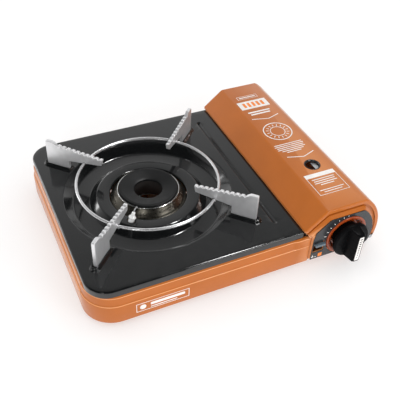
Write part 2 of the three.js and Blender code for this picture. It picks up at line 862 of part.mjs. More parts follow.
const portY = leverPivotY - 1;
const portZ = 16;
const portX = bayX - regulatorRadius;
const gasRoute = [
  [jetEnd + gap, burnerY, tubeZ],
  [jetEnd + 6, burnerY - 1, tubeZ],
  [jetEnd + 11, burnerY - 8, tubeZ],
  [jetEnd + 12.4, burnerY - 24, tubeZ],
  [jetEnd + 12.4, -82, tubeZ - 1],
  [partitionX - 6, -94, 12.4],
  [partitionX, -97, 12],
  [partitionX + 8, -98.5, 12],
  [portX - 8, -106, 12.6],
  [portX - 4, portY, portZ - 0.6],
  [portX, portY, portZ],
];

// ---------------------------------------------------------------- ignition
const electrodeFloor = burnerFloor;
const clipZ = electrodeFloor + 3;
const lean = THREE.MathUtils.degToRad(electrodeLean);

// A point of the leaning electrode's axis, a distance along it from the pan.
const onElectrode = (along) => [
  electrodeX + along * Math.sin(lean),
  electrodeY,
  crestZ + along * Math.cos(lean),
];
const alongTo = (z) => (z - crestZ) / Math.cos(lean);
const clipX = onElectrode(alongTo(clipZ))[0];
const insulatorFoot = alongTo(electrodeFloor);

function electrodeInsulator() {
  const r = electrodeRadius;
  const shoulder = alongTo(clipZ + sheet) + gap + r * Math.tan(lean);
  const profile = [
    [0, insulatorFoot],
    [r - 1, insulatorFoot],
    [r - 1, shoulder],
    [r, shoulder],
    [r, electrodeRise * 0.28],
    [r + 0.9, electrodeRise * 0.36],
    [r, electrodeRise * 0.46],
    [r - 1.4, electrodeRise * 0.6],
    [r - 1.6, electrodeRise],
    [0, electrodeRise],
  ];
  return solid(
    lathe(profile, 16).rotateX(Math.PI / 2).rotateY(lean).translate(electrodeX, electrodeY, crestZ),
  );
}

// Wire that leaves the ceramic's end and bends towards the cap's rim.
function electrodeTip() {
  const inward = new THREE.Vector2(burnerX - electrodeX, burnerY - electrodeY).normalize();
  const [x, y, z] = onElectrode(electrodeRise + 2.2);
  const route = [
    onElectrode(electrodeRise + gap),
    onElectrode(electrodeRise + 1.2),
    [x + inward.x * 1.4, y + inward.y * 1.4, z],
    [x + inward.x * 8, y + inward.y * 8, z - 0.8],
  ];
  return piped(route, 0.8, 8, 6);
}

function electrodeBracket() {
  const foot = trayTop + gap;
  const x = clipX + 4.4;
  const wide = 5;
  return cut(
    join(
      block(x, x + sheet, electrodeY - wide, electrodeY + wide, foot, clipZ + sheet),
      block(clipX - wide, x + sheet, electrodeY - wide, electrodeY + wide, clipZ, clipZ + sheet),
      block(x, x + 2 * wide, electrodeY - wide, electrodeY + wide, foot, foot + sheet),
    ),
    upPin(clipX, electrodeY, clipZ - 1, clipZ + 3, electrodeRadius - 1 + 2 * gap, 16),
  );
}

const igniterX = bayX - (regulatorRadius + igniterRadius + gap) * Math.SQRT1_2;
const igniterZ = regulatorZ + (regulatorRadius + igniterRadius + gap) * Math.SQRT1_2;
const igniterBack = -103.6;
const leadHoleZ = 38.7;
const leadRoute = [
  [igniterX, igniterBack + gap, igniterZ],
  [igniterX, igniterBack + 1.6, igniterZ],
  [igniterX - 8, igniterBack + 3, igniterZ - 5],
  [partitionX + 8, -100.6, leadHoleZ + 3],
  [partitionX, -101, leadHoleZ],
  [partitionX - 8, -100.6, leadHoleZ - 2],
  [deckRight - 15, -95, 26],
  [deckRight - 29, -85, 12],
  [deckRight - 71, -70, 7],
  [burnerX, -66, 6.6],
  [clipX + 10, electrodeY - 20, 6.6],
  [clipX + 1.6, electrodeY - 9, 11],
  onElectrode(insulatorFoot - 6),
  onElectrode(insulatorFoot - gap),
];

function piezoIgniter() {
  return join(
    backPin(igniterX, igniterZ, -half + 9, igniterBack - 3, igniterRadius, 20),
    backPin(igniterX, igniterZ, igniterBack - 4, igniterBack, 3.4, 12),
    backPin(igniterX, igniterZ, -half + 7.4, -half + 10, 4, 12),
  );
}

// ---------------------------------------------------------------- canister bay
const lidAngle = Math.atan2(lidTop - lidLow, lidShoulderX - lidLeft);

// Right-hand outline of the bay, drawn a given inset inside the lid, from the slope over the top and down.
function bayCurve(inset, startX, bottom) {
  const slope = Math.tan(lidAngle);
  const high = (x) => lidLow + slope * (x - lidLeft) - inset / Math.cos(lidAngle);
  const top = lidTop - inset;
  const shoulderX = lidLeft + (top - lidLow + inset / Math.cos(lidAngle)) / slope;
  const radius = flankRadius - inset;
  const steps = 7;
  const first = Math.asin((top - flankZ) / radius);
  const last = Math.asin((bottom - flankZ) / radius);
  const flank = Array.from({ length: steps + 1 }, (_, i) => {
    const angle = first + ((last - first) * i) / steps;
    return [flankX + radius * Math.cos(angle), flankZ + radius * Math.sin(angle)];
  });
  flank[0].push(6);
  flank[steps].push(3.4);
  return [[startX, high(startX)], [shoulderX, top, 5], ...flank];
}

// Lid: skin, end lips and hinge ears. It ends above the pan on the left and under the hinge on the right.
function canisterLid() {
  const section = (inset, beyond) => {
    const edge = lidLeft + inset;
    const curve = bayCurve(inset, edge, lidBottom + inset);
    return outline([
      [edge, deckZ + 0.8 - beyond],
      ...curve,
      [hingeX - 2.5 - beyond, lidBottom + inset],
      [hingeX - 2.5 - beyond, lidBottom - beyond],
      [hingeX - 20, lidBottom - beyond],
    ]);
  };
  const full = (inset) =>
    outline([
      [lidLeft + inset, deckZ + 0.8],
      ...bayCurve(inset, lidLeft + inset, lidBottom),
      [hingeX - 2.5, lidBottom],
    ]);
  const skin = frontal(full(0), -lidEnd, lidEnd);
  const hollow = (inset, y) => frontal(section(inset, 6), -y, y);
  const ears = [-1, 1].map((side) => {
    const y = side * (lidEnd - (sheet + 0.5) / 2);
    const thick = (sheet + 0.5) / 2;
    return join(
      backPin(hingeX, hingeZ, y - thick, y + thick, earRadius, 20),
      frontal(rectangle(hingeX, hingeZ, flankReach - 0.6, hingeZ + earRadius), y - thick, y + thick),
    );
  });
  const reliefs = [-1, 1].map((side) =>
    block(hingeX - 12, hingeX + 12, side * lidEnd - 14, side * lidEnd + 14, -1, lidBottom + lipWidth + gap),
  );
  const shell = cut(skin, hollow(sheet, lidEnd - sheet), hollow(lipWidth, lidEnd + 1), ...reliefs);
  return cut(
    join(shell, ...ears),
    backPin(hingeX, hingeZ, -half - 5, half + 5, pinRadius + gap, 12),
    upPin(bayX - peepOffset, peepY, lidTop - 5, lidTop + 5, peepRadius, 20),
  );
}

function hingePin(side) {
  const outer = side * (lidEnd + gap);
  const inner = side * (endWallY - sheet - gap);
  const [y0, y1] = [Math.min(outer, inner), Math.max(outer, inner)];
  const tipThick = side * pinHead;
  const cap = (y) =>
    backPin(hingeX, hingeZ, Math.min(y, y + tipThick), Math.max(y, y + tipThick), pinRadius + 1.2, 12);
  return join(backPin(hingeX, hingeZ, y0, y1, pinRadius, 12), cap(outer), cap(inner - tipThick));
}

// Flat end of the bay, cleared round the hinge but for a lug that holds the pin.
function endSheet(side) {
  const y = side * endWallY;
  const inner = y - side * sheet;
  const [y0, y1] = [Math.min(y, inner), Math.max(y, inner)];
  const left = seamX + gap;
  const notch = beadHigh + 2.8;
  const noseX = deckRight + 1.2;
  const flat = frontal(
    outline([[left, 0], [left, notch], [noseX, notch + 3.6], ...bayCurve(sheet + 0.8, noseX, 0)]),
    y0,
    y1,
  );
  const lug = join(
    backPin(hingeX, hingeZ, y0, y1, earRadius - 0.2, 16),
    frontal(rectangle(hingeX - 3, hingeZ, hingeX + 1, hingeZ + 8), y0, y1),
  );
  return join(cut(flat, block(trayRight - 0.5, flankReach, y0 - 1, y1 + 1, -1, hingeZ + 4)), lug).subtract(
    backPin(hingeX, hingeZ, y0 - 1, y1 + 1, pinRadius + gap, 16),
  );
}

// Raised control end: a shallow drawn boss with a bevelled rim, as a solid with its back at y1.
function boss(inset, front, y1) {
  const shrunk = inset + bossBevel;
  const left = seamX + gap;
  const notch = beadHigh + 2.8;
  const curve = bayCurve(shrunk, left - 2, bossBottom + shrunk - bossInset);
  curve.at(-1)[2] = 6;
  const shape = outline([[left, bossBottom + shrunk - bossInset], [left, notch], ...curve]);
  const depth = 20;
  const geometry = new THREE.ExtrudeGeometry(shape, {
    depth,
    bevelThickness: bossProud + 0.3,
    bevelSize: bossBevel,
    bevelSegments: 1,
    curveSegments: 4,
  });
  geometry.rotateX(Math.PI / 2).translate(0, front + bossProud + 0.3 + depth, 0);
  const made = solid(geometry);
  const keep = inset - bossInset;
  return cut(
    made,
    block(0, 400, y1, 400, -50, 100),
    block(0, left + keep, -200, 200, -50, notch - 0.4 + keep),
  );
}

const leverSlot = {
  x0: slotLeft,
  x1: slotRight,
  z0: leverZ - 13,
  z1: leverZ + 3,
};

function controlEnd() {
  const shell = join(endSheet(-1), boss(bossInset, bossFace, -endWallY + 0.5));
  const { x0, x1, z0, z1 } = leverSlot;
  return cut(
    shell,
    boss(bossInset + sheet, bossFace + sheet, -endWallY + sheet + 2),
    backPin(bayX, knobZ, -half - 20, -half, dishRadius + gap, 20),
    frontal(rectangle(x0, z0, x1, z1), -half - 20, -half + 10),
    backPin(hingeX, hingeZ, -half - 20, -endWallY - 0.01, earRadius + 2.8, 16),
  );
}

// Thin black cover on the control end, open round the collar and the lever's slot.
function fascia() {
  const left = seamX + gap + 0.4;
  const curve = bayCurve(fasciaInset, left + 2, fasciaBottom);
  curve.at(-1)[2] = 5;
  const { x0, x1, z0, z1 } = leverSlot;
  const y1 = bossFace - gap;
  return cut(
    frontal(outline([[left, fasciaBottom], [left, beadHigh - 1], ...curve]), y1 - fasciaSheet, y1),
    backPin(bayX, knobZ, y1 - 5, y1 + 5, collarOuter + gap, 20),
    frontal(rectangle(x0, z0, x1, z1), y1 - 5, y1 + 5),
  );
}

const dishRadius = collarInner + 0.1;

// Pressed ring round the knob with a sunk dish behind the knob's hub.
function knobCollar() {
  const h = bossProud + gap;
  const ring = turnedForward(
    [
      [collarOuter, h],
      [collarOuter - 0.7, h + collarProud - 0.6],
      [(collarOuter + collarInner) / 2, h + collarProud],
      [collarInner + 0.7, h + collarProud - 0.7],
      [collarInner - 0.7, h - 0.8],
      [hubRadius + 0.4, h - 4.2],
      [spindleRadius + 3, h - 4.2],
      [spindleRadius + 3, h - 5.2],
      [hubRadius + 1, h - 5.2],
      [dishRadius, h - 1.2],
      [dishRadius, h],
    ],
    bayX,
    knobZ,
    20,
  );
  return ring.subtract(block(0, 400, -half - 20, -half + 20, -20, fasciaBottom - 0.5));
}

// ---------------------------------------------------------------- knob
function knobBody() {
  const rim = 12;
  const turnedPart = turnedForward(
    [
      [0, 0.8],
      [hubRadius - 1.6, 0.8],
      [hubRadius, rim - 3.6],
      [knobRadius - 0.8, rim - 1.6],
      [knobRadius, rim],
      [knobRadius, rim + 2.6],
      [knobRadius - 1.4, rim + 4.2],
      [0, rim + 4.2],
    ],
    bayX,
    knobZ,
    20,
  );
  const tall = gripHeight / 2;
  const grip = upright(
    outline([
      [bayX - gripRoot / 2, -half - rim - 1],
      [bayX - gripFront / 2, knobFront, 1.2],
      [bayX + gripFront / 2, knobFront, 1.2],
      [bayX + gripRoot / 2, -half - rim - 1],
    ]),
    knobZ - tall + 1,
    knobZ + tall - 1,
    {
      bevelEnabled: true,
      bevelThickness: 1,
      bevelSize: 1,
      bevelOffset: -1,
      bevelSegments: 1,
      curveSegments: 2,
    },
  );
  return cut(
    join(turnedPart, grip),
    backPin(bayX, knobZ, -half - rim, -half, spindleRadius + gap, 20),
  );
}

// Spindle with a flat for the knob, and the arm that trips the igniter.
function spindle() {
  const front = -half - 11.6;
  const arm = solid(
    new THREE.BoxGeometry(armLength, 2, 5)
      .translate(armLength / 2 - 2, -half + 4.5, 0)
      .rotateY(-THREE.MathUtils.degToRad(armRise))
      .translate(bayX, 0, knobZ),
  );
  const rod = cut(
    backPin(bayX, knobZ, front, -half + 20, spindleRadius, 20),
    block(bayX - 10, bayX + 10, front - 1, -half, knobZ + spindleRadius - 1, knobZ + 10),
  );
  return rod.add(arm);
}

// ---------------------------------------------------------------- regulator
const regulatorFront = -half + 9.5;
const regulatorBack = -100;

function regulator() {
  const r = regulatorRadius;
  const at = (y) => -half - y;
  const body = turnedForward(
    [
      [0, at(regulatorFront)],
      [r - 4, at(regulatorFront)],
      [r, at(regulatorFront + 2.5)],
      [r, at(regulatorFront + 15)],
      [r - 3, at(regulatorFront + 17)],
      [r - 8, at(regulatorFront + 20)],
      [12, at(regulatorBack)],
      [0, at(regulatorBack)],
    ],
    bayX,
    regulatorZ,
    20,
  );
  return cut(
    join(body, sidePin(portY, portZ, portX + gap, bayX - 12, 4, 16)),
    backPin(bayX, knobZ, regulatorFront - 1, -half + 20 + gap, spindleRadius + gap, 20),
    backPin(bayX, canisterZ, regulatorBack - 6, regulatorBack + 1, 2, 12),
    backPin(igniterX, igniterZ, -half, igniterBack, igniterRadius + gap, 20),
  );
}

function regulatorBracket() {
  const foot = trayTop + gap;
  const y0 = regulatorFront + 3;
  return cut(
    join(
      block(bayX - bracketHalf, bayX + bracketHalf, y0, y0 + 11, foot, foot + sheet + 0.2),
      block(bayX - bracketHalf, bayX - bracketHalf + 2 * sheet, y0, y0 + 11, foot, bracketHeight),
      block(bayX + bracketHalf - 2 * sheet, bayX + bracketHalf, y0, y0 + 11, foot, bracketHeight),
    ),
    backPin(bayX, regulatorZ, y0 - 5, y0 + 20, regulatorRadius + gap, 20),
    sidePin(portY, portZ, portX - 2, bayX, 4 + gap, 16),
  );
}

// Pressed plate behind the regulator that takes the canister's collar; the tab finds the collar's notch.
function canisterSocket() {
  const y0 = regulatorBack + gap;
  return cut(
    join(
      backPin(bayX, canisterZ, y0, y0 + 1.4, socketRadius, 28),
      backPin(bayX, canisterZ, y0, y0 + 4, 6, 16),
      block(bayX - 2.4, bayX + 2.4, y0, y0 + 7, canisterZ + 13, canisterZ + 15),
    ),
    backPin(bayX, canisterZ, y0 - 1, y0 + 8, 2, 12),
  );
}

function canisterCradle() {
  const inner = canisterRadius + 0.5;
  const spread = THREE.MathUtils.degToRad(cradleSpread);
  const middle = -Math.PI / 2;
  const arc = new THREE.Shape();
  arc.absarc(bayX, canisterZ, inner + sheet, middle - spread, middle + spread, false);
  arc.absarc(bayX, canisterZ, inner, middle + spread, middle - spread, true);
  return cut(
    frontal(arc, -cradleHalf, cradleHalf, { curveSegments: 8 }),
    block(bayX - 9, bayX + 9, -1.5 * cradleWindow, -cradleWindow / 2, 0, 10),
    block(bayX - 9, bayX + 9, cradleWindow / 2, 1.5 * cradleWindow, 0, 10),
  );
}

// Upright heat shield between burner and canister, with louvre slots and hooks for the pusher's rail.
const railX = partitionX + sheet + gap;
function partition() {
  const foot = trayTop + gap;
  const y = half - shoulderInset - sheet - gap;
  const slots = Array.from({ length: louvreCount }, (_, i) => {
    const y0 = (i - louvreCount / 2) * louvrePitch + 8;
    return block(partitionX - 1, partitionX + 2, y0, y0 + louvreLength, louvreZ, louvreZ + louvreHeight);
  });
  const hookReach = railX + railSheet + gap + sheet;
  const hooks = [-50, 62].flatMap((at) => [
    block(partitionX, hookReach, at, at + hookWidth, railLow - gap - sheet, railLow - gap),
    block(partitionX, hookReach, at, at + hookWidth, railHigh + gap, railHigh + gap + sheet),
  ]);
  return cut(
    join(
      block(partitionX, partitionX + sheet, -y, y, foot, deckZ + 1.8),
      block(partitionX, partitionX + 9, leverPivotY + 12, y, foot, foot + sheet),
      ...hooks,
    ),
    ...slots,
    sidePin(-97, 12, partitionX - 2, partitionX + 4, pipeRadius + 1, 12),
    sidePin(-101, leadHoleZ, partitionX - 2, partitionX + 4, leadRadius + 1, 12),
  );
}

// ---------------------------------------------------------------- canister lock
const pinZ = leverPivotZ + leverArm;
const leverPlateX = railX + railSheet + gap;
const leverRootY = -half + 10; // far enough back to clear the front wall when the lever is down
const leverTipBack = -half - leverReach + leverTipLength;

// Bell crank: the handle comes out of the slot, the upright arm's pin drives the pusher.
function lockLever() {
  const plate = sideways(
    outline([
      [leverPivotY - 4, leverPivotZ - 4, 3],
      [leverPivotY + 4, leverPivotZ - 4, 3],
      [leverPivotY + 4, pinZ + 4, 3],
      [leverPivotY - 4, pinZ + 4, 3],
      [leverPivotY - 6, leverZ + 1],
      [leverRootY, leverZ + 1],
      [leverRootY, leverZ - 5],
      [leverPivotY - 6, leverPivotZ + 6],
    ]),
    leverPlateX,
    leverPlateX + 1.5,
  );
  const x0 = leverX - leverWidth / 2;
  return cut(
    join(
      plate,
      block(leverPlateX, x0 + 2, leverRootY, leverRootY + 4, leverZ - 1, leverZ + 1),
      block(x0, x0 + leverWidth, leverTipBack + gap, leverRootY + 4, leverZ - 1, leverZ + 1),
      sidePin(leverPivotY, pinZ, railX - gap / 2, leverPlateX + 1, pinRadius + 0.5, 12),
    ),
    sidePin(leverPivotY, leverPivotZ, leverPlateX - 1, leverPlateX + 3, pinRadius + gap, 12),
  );
}

function leverTip() {
  const x0 = leverX - leverWidth / 2;
  return block(x0, x0 + leverWidth, -half - leverReach, leverTipBack, leverZ - 1.4, leverZ + 1.4);
}

// Bracket on the floor that carries the lever's pivot pin.
function leverBracket() {
  const foot = trayTop + gap;
  const x = leverPlateX + 1.5 + gap;
  return join(
    block(x, x + 1.5, leverPivotY - 6, leverPivotY + 5, foot, leverPivotZ + 4),
    block(x, x + 8, leverPivotY - 6, leverPivotY + 5, foot, foot + 1.2),
    sidePin(leverPivotY, leverPivotZ, leverPlateX - 0.6, x + 1, pinRadius, 12),
  );
}

// Rail along the heat shield with a stop behind the canister.
function pusher() {
  const pinPlay = pinRadius + 0.5 + gap + 0.1;
  return cut(
    join(
      block(railX, railX + railSheet, leverPivotY - 5, railEnd + 1.5, railLow, railHigh),
      block(railX, bayX + 4, railEnd, railEnd + 1.5, railLow, railHigh + 6),
      block(railX, railX + railSheet, leverPivotY - 5, leverPivotY + 6, railLow, pinZ + 6),
    ),
    sideways(
      rectangle(leverPivotY - pinPlay, pinZ - pinPlay - 1, leverPivotY + pinPlay, pinZ + pinPlay, 1),
      railX - 1,
      railX + 3,
    ),
  );
}

// ---------------------------------------------------------------- assembly
const trivetPlates = ["back_right", "back_left", "front_left", "front_right"];

place("bottom_tray", bottomTray(), orangePaint());
place("front_panel", frontPanel(), orangePaint());
place("back_panel", backPanel(), orangePaint());
feet.forEach(([where, x, y]) => place(`foot_${where}`, rubberFoot(x, y), blackRubber()));
place("drip_pan", dripPan(), blackEnamel());
place("partition", partition(), zincSteel());
place("control_end", controlEnd(), orangePaint());
place("rear_end", endSheet(1), orangePaint());
place("fascia", fascia(), blackPlastic());
place("knob_collar", knobCollar(), orangePaint());

place("burner_cap", burnerCap(), blackEnamel());
place("burner_body", burnerBody(), bareAluminium());
place("burner_skirt", burnerSkirt(), chrome());
place("burner_stand", burnerStand(), zincSteel());
place("mixing_tube", piped(mixingRoute, tubeRadius, 10, 10, tubeBore), zincSteel());
place("air_shutter", airShutter(), zincSteel());
place("gas_jet", gasJet(), brass());
place("jet_bracket", jetBracket(), zincSteel());
place("gas_pipe", piped(gasRoute, pipeRadius, 22, 6), brass());

place("electrode_insulator", electrodeInsulator(), ceramic());
place("electrode_tip", electrodeTip(), zincSteel());
place("electrode_bracket", electrodeBracket(), zincSteel());
place("ignition_lead", piped(leadRoute, leadRadius, 30, 5), silicone());
place("piezo_igniter", piezoIgniter(), blackPlastic());

place("regulator", regulator(), bareAluminium());
place("regulator_bracket", regulatorBracket(), zincSteel());
place("canister_socket", canisterSocket(), brass());
place("canister_cradle", canisterCradle(), zincSteel());
place("lever_bracket", leverBracket(), zincSteel());
place("hinge_pin_front", hingePin(-1), zincSteel());
place("hinge_pin_back", hingePin(1), zincSteel());

const lid = new THREE.Group();
place("canister_lid", canisterLid(), orangePaint(), lid);

const control = new THREE.Group();
place("knob", knobBody(), blackPlastic(), control);
place("spindle", spindle(), zincSteel(), control);

const lock = new THREE.Group();
place("lock_lever", lockLever(), zincSteel(), lock);
place("lever_tip", leverTip(), bareAluminium(), lock);
place("pusher", pusher(), zincSteel(), lock);

const panSupport = new THREE.Group();
place("trivet_ring", wireRing(wireRadius, 6, 40), chrome(), panSupport);
trivetPlates.forEach((where, i) =>
  place(`trivet_plate_${where}`, supportPlate(diagonals[i]), bareAluminium(), panSupport),
);

stove.add(lid, control, lock, panSupport);
const root = new THREE.Group();
root.add(stove);

export default root;
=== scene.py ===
# %% [markdown]
# This lesson builds the finished look of a portable gas stove: a pressed steel body in orange enamel, a
# glossy black drip pan with a lift-off pan support, and a bay with a hinged lid for a lying gas canister.
# The shapes of the metal parts come ready made as a frame of named nodes that move on their own bodies.
# Loading that frame comes first, because each piece that we make or finish has to ride on one of them.

# %% Load the frame
import json
import math

import bmesh
import bpy
from mathutils import Matrix, Vector


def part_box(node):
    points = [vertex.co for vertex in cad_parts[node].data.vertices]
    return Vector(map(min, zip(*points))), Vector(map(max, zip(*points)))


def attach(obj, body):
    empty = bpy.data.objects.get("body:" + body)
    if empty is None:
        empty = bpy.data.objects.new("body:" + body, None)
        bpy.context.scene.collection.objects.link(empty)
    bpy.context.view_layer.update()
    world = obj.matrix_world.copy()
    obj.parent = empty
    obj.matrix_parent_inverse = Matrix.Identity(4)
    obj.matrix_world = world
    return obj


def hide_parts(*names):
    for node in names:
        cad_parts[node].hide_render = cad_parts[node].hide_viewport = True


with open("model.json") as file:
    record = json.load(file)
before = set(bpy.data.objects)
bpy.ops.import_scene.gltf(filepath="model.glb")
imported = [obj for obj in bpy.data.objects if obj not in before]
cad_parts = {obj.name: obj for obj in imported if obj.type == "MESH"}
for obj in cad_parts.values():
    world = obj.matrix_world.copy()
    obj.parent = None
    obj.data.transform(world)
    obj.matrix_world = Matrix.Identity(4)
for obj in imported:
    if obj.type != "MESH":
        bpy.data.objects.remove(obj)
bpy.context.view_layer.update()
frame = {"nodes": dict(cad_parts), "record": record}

nodes = frame["nodes"]
scene = bpy.context.scene

# %% [markdown]
# A product is best shown from a little above and to one side, with a lens that is long enough to keep its
# sides nearly parallel. A camera could be aimed with a tracking constraint, but plain angles say what the
# view is: how far it is turned round the stove, how far it looks down, and a slight roll.

# %% Camera
VIEW_PLACE = (-0.25325, -0.51299, 0.53689)
VIEW_TURN = math.radians(-26.23)
VIEW_DOWN = math.radians(41.57)
VIEW_ROLL = math.radians(2.71)
SENSOR_WIDTH = 36
LENS = 56.16
view = bpy.data.cameras.new("view")
view.sensor_width = SENSOR_WIDTH
view.lens = LENS
view.dof.use_dof = False
camera = bpy.data.objects.new("view", view)
camera.location = VIEW_PLACE
camera.rotation_euler = (
    Matrix.Rotation(VIEW_TURN, 3, "Z")
    @ Matrix.Rotation(math.pi / 2 - VIEW_DOWN, 3, "X")
    @ Matrix.Rotation(VIEW_ROLL, 3, "Z")
).to_euler()
scene.collection.objects.link(camera)
scene.camera = camera
scene.view_settings.view_transform = "Standard"
print("camera", round(camera.location.length, 3), "m from the origin")

# %% [markdown]
# A maker reads the stove from a drawing: millimetres from the left wall, from the burner's centre line and
# from the underside of the tray. Blender counts in metres from the middle of the whole object. We could
# convert each number by hand, but one function that does it keeps the drawing's own numbers readable, and
# the start of its scale comes from the frame.

# %% Workshop measures
MM = 0.001
FOOT_HEIGHT = 7
cap_low, cap_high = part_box("burner_cap")
left_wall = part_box("front_panel")[0].x
start = Vector((left_wall, (cap_low.y + cap_high.y) / 2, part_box("foot_front_left")[0].z + FOOT_HEIGHT * MM))


def shop(x, y, z):
    """A point of the workshop drawing, in metres."""
    return start + Vector((x, y, z)) * MM


def measured(node):
    """The lowest and highest corner of a node, in drawing millimetres."""
    low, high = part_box(node)
    return (low - start) / MM, (high - start) / MM


BURNER_X = measured("burner_cap")[0].x + (cap_high.x - cap_low.x) / MM / 2
WALL_Y = -measured("front_panel")[0].y
KNOB_X = sum(corner.x for corner in measured("knob_collar")) / 2
KNOB_Z = sum(corner.z for corner in measured("knob_collar")) / 2
print("burner axis at", round(BURNER_X, 1), "and knob axis at", round(KNOB_X, 1), "mm from the left wall")

# %% [markdown]
# A finish is a material with three layers of detail on top of its colour: the colour drifts a little, the
# gloss is uneven, and the surface is not quite flat. Image textures would need unwrapped meshes, so we use
# noise that is worked out in space. Its size is given in millimetres, so that the grain on a small knob
# and on a large lid is the same.

# %% Tools for finishes
def add_node(finish, kind, **values):
    """A shader node with its sockets set by name."""
    made = finish.node_tree.nodes.new(kind)
    for name, value in values.items():
        made.inputs[name.replace("_", " ")].default_value = value
    return made


def wire(finish, source, target):
    finish.node_tree.links.new(source, target)


def shader_of(finish):
    return finish.node_tree.nodes["Principled BSDF"]


def grain(finish, size, detail=3.0, along=(1, 1, 1)):
    """Noise with spots of about size millimetres, drawn out by the factors in along."""
    spot = add_node(finish, "ShaderNodeTexCoord")
    scale = [1 / (size * MM * stretch) for stretch in along]
    mapping = add_node(finish, "ShaderNodeMapping", Scale=scale)
    noise = add_node(finish, "ShaderNodeTexNoise", Scale=1.0, Detail=detail)
    wire(finish, spot.outputs["Object"], mapping.inputs["Vector"])
    wire(finish, mapping.outputs["Vector"], noise.inputs["Vector"])
    return noise.outputs["Fac"]


def between(finish, value, low, high, start_at=0.3, end_at=0.7):
    """Spread a value over the range from low to high."""
    spread = add_node(finish, "ShaderNodeMapRange", From_Min=start_at, From_Max=end_at,
                      To_Min=low, To_Max=high)
    wire(finish, value, spread.inputs["Value"])
    return spread.outputs["Result"]


def mixed(finish, factor, first, second):
    """A colour that goes from first to second with the factor."""
    mix = finish.node_tree.nodes.new("ShaderNodeMix")
    mix.data_type = "RGBA"
    wire(finish, factor, mix.inputs["Factor"])
    for socket, color in (("A", first), ("B", second)):
        target = next(s for s in mix.inputs if s.name == socket and s.type == "RGBA")
        if isinstance(color, tuple):
            target.default_value = (*color, 1)
        else:
            wire(finish, color, target)
    return next(s for s in mix.outputs if s.type == "RGBA")


def roughen(finish, height, depth):
    """Bump from a height value, depth in millimetres."""
    bump = add_node(finish, "ShaderNodeBump", Strength=1.0, Distance=depth * MM)
    wire(finish, height, bump.inputs["Height"])
    wire(finish, bump.outputs["Normal"], shader_of(finish).inputs["Normal"])
    return bump


def new_finish(name, color, roughness, metallic=0.0, drift=0.08, patch=30.0):
    """A shader whose colour drifts by a small share over patches of some millimetres."""
    finish = bpy.data.materials.new(name)
    finish.use_nodes = True
    shader = shader_of(finish)
    shader.inputs["Metallic"].default_value = metallic
    darker = tuple(channel * (1 - drift) for channel in color)
    lighter = tuple(min(1.0, channel * (1 + drift)) for channel in color)
    wire(finish, mixed(finish, between(finish, grain(finish, patch), 0, 1), darker, lighter),
         shader.inputs["Base Color"])
    low, high = roughness
    wire(finish, between(finish, grain(finish, patch / 3, detail=5), low, high), shader.inputs["Roughness"])
    return finish


def set_gloss(finish, shine, coat, coat_roughness):
    """How strongly the surface mirrors, and the clear coat that lies over it."""
    shader = shader_of(finish)
    shader.inputs["Specular IOR Level"].default_value = shine
    shader.inputs["Coat Weight"].default_value = coat
    shader.inputs["Coat Roughness"].default_value = coat_roughness


def recolor(finish, share, color):
    """Take the colour over to another one by a share."""
    target = shader_of(finish).inputs["Base Color"]
    wire(finish, mixed(finish, share, target.links[0].from_socket, color), target)


def recolor_edges(finish, edge_range, color):
    """Another colour on bends and edges; the range says how sharp they start and end."""
    shape = add_node(finish, "ShaderNodeNewGeometry")
    recolor(finish, between(finish, shape.outputs["Pointiness"], 0, 1, *edge_range), color)


print("finish tools ready")

# %% [markdown]
# The body is sprayed and baked: a gloss coat that has drawn together slightly, like orange peel. A fine bump
# gives the peel, and a clear coat on the shader gives the second, sharper reflection that baked enamel has.
# The bends get a paler colour, which is a painted highlight. How sharp an edge is gets measured at the
# corners of a mesh, so on a large sheet with holes the painted highlight would spread over the flat: the
# tray's coat goes without it. A coat can also get painted highlight lines at given heights, along the level
# crests that are pressed into the walls.

# %% Orange enamel
ORANGE = (0.485, 0.130, 0.0145)
PAINTED_HIGHLIGHT = (0.80, 0.36, 0.16)
HIGHLIGHT_BEND_RANGE = (0.53, 0.62)
PEEL_SIZE, PEEL_DEPTH = 1.6, 0.012


def make_orange_enamel(name, painted_bend_highlights=True):
    finish = new_finish(name, ORANGE, (0.30, 0.40), drift=0.05, patch=40)
    set_gloss(finish, shine=0.2, coat=0.4, coat_roughness=0.05)
    if painted_bend_highlights:
        # Painted highlight: a paler colour on bends and edges.
        recolor_edges(finish, HIGHLIGHT_BEND_RANGE, PAINTED_HIGHLIGHT)
    roughen(finish, grain(finish, PEEL_SIZE, detail=2), PEEL_DEPTH)
    return finish


def add_painted_crest_highlights(finish, heights, half_width):
    """Painted highlight lines along level crests at these heights in millimetres."""
    spot = add_node(finish, "ShaderNodeTexCoord")
    split = finish.node_tree.nodes.new("ShaderNodeSeparateXYZ")
    wire(finish, spot.outputs["Object"], split.inputs["Vector"])
    for height in heights:
        away = add_node(finish, "ShaderNodeMath")
        away.operation = "SUBTRACT"
        away.inputs[1].default_value = shop(0, 0, height).z
        wire(finish, split.outputs["Z"], away.inputs[0])
        far = add_node(finish, "ShaderNodeMath")
        far.operation = "ABSOLUTE"
        wire(finish, away.outputs["Value"], far.inputs[0])
        share = between(finish, far.outputs["Value"], 1, 0, half_width * MM / 3, half_width * MM)
        # Painted highlight: a paler colour along each crest line.
        recolor(finish, share, PAINTED_HIGHLIGHT)


orange_enamel = make_orange_enamel("orange_enamel")
tray_enamel = make_orange_enamel("tray_enamel", painted_bend_highlights=False)
print(orange_enamel.name, "with", len(orange_enamel.node_tree.nodes), "nodes")

# %% [markdown]
# The drip pan and the burner cap are black vitreous enamel, which is glass fired onto steel: very dark,
# glossy on the pan and satin where heat has dulled it. Dust and faint wipe marks change the gloss rather
# than the colour, so most of the detail goes into roughness.

# %% Black enamels
WAVE_DEPTH = 0.02


def make_black_enamel(name, color, roughness, wave, shine=0.5, coat=0.0):
    """Fired enamel with waves of about wave millimetres in its surface."""
    finish = new_finish(name, color, roughness, drift=0.15, patch=25)
    set_gloss(finish, shine, coat, coat_roughness=0.04)
    roughen(finish, grain(finish, wave, detail=1), WAVE_DEPTH)
    return finish


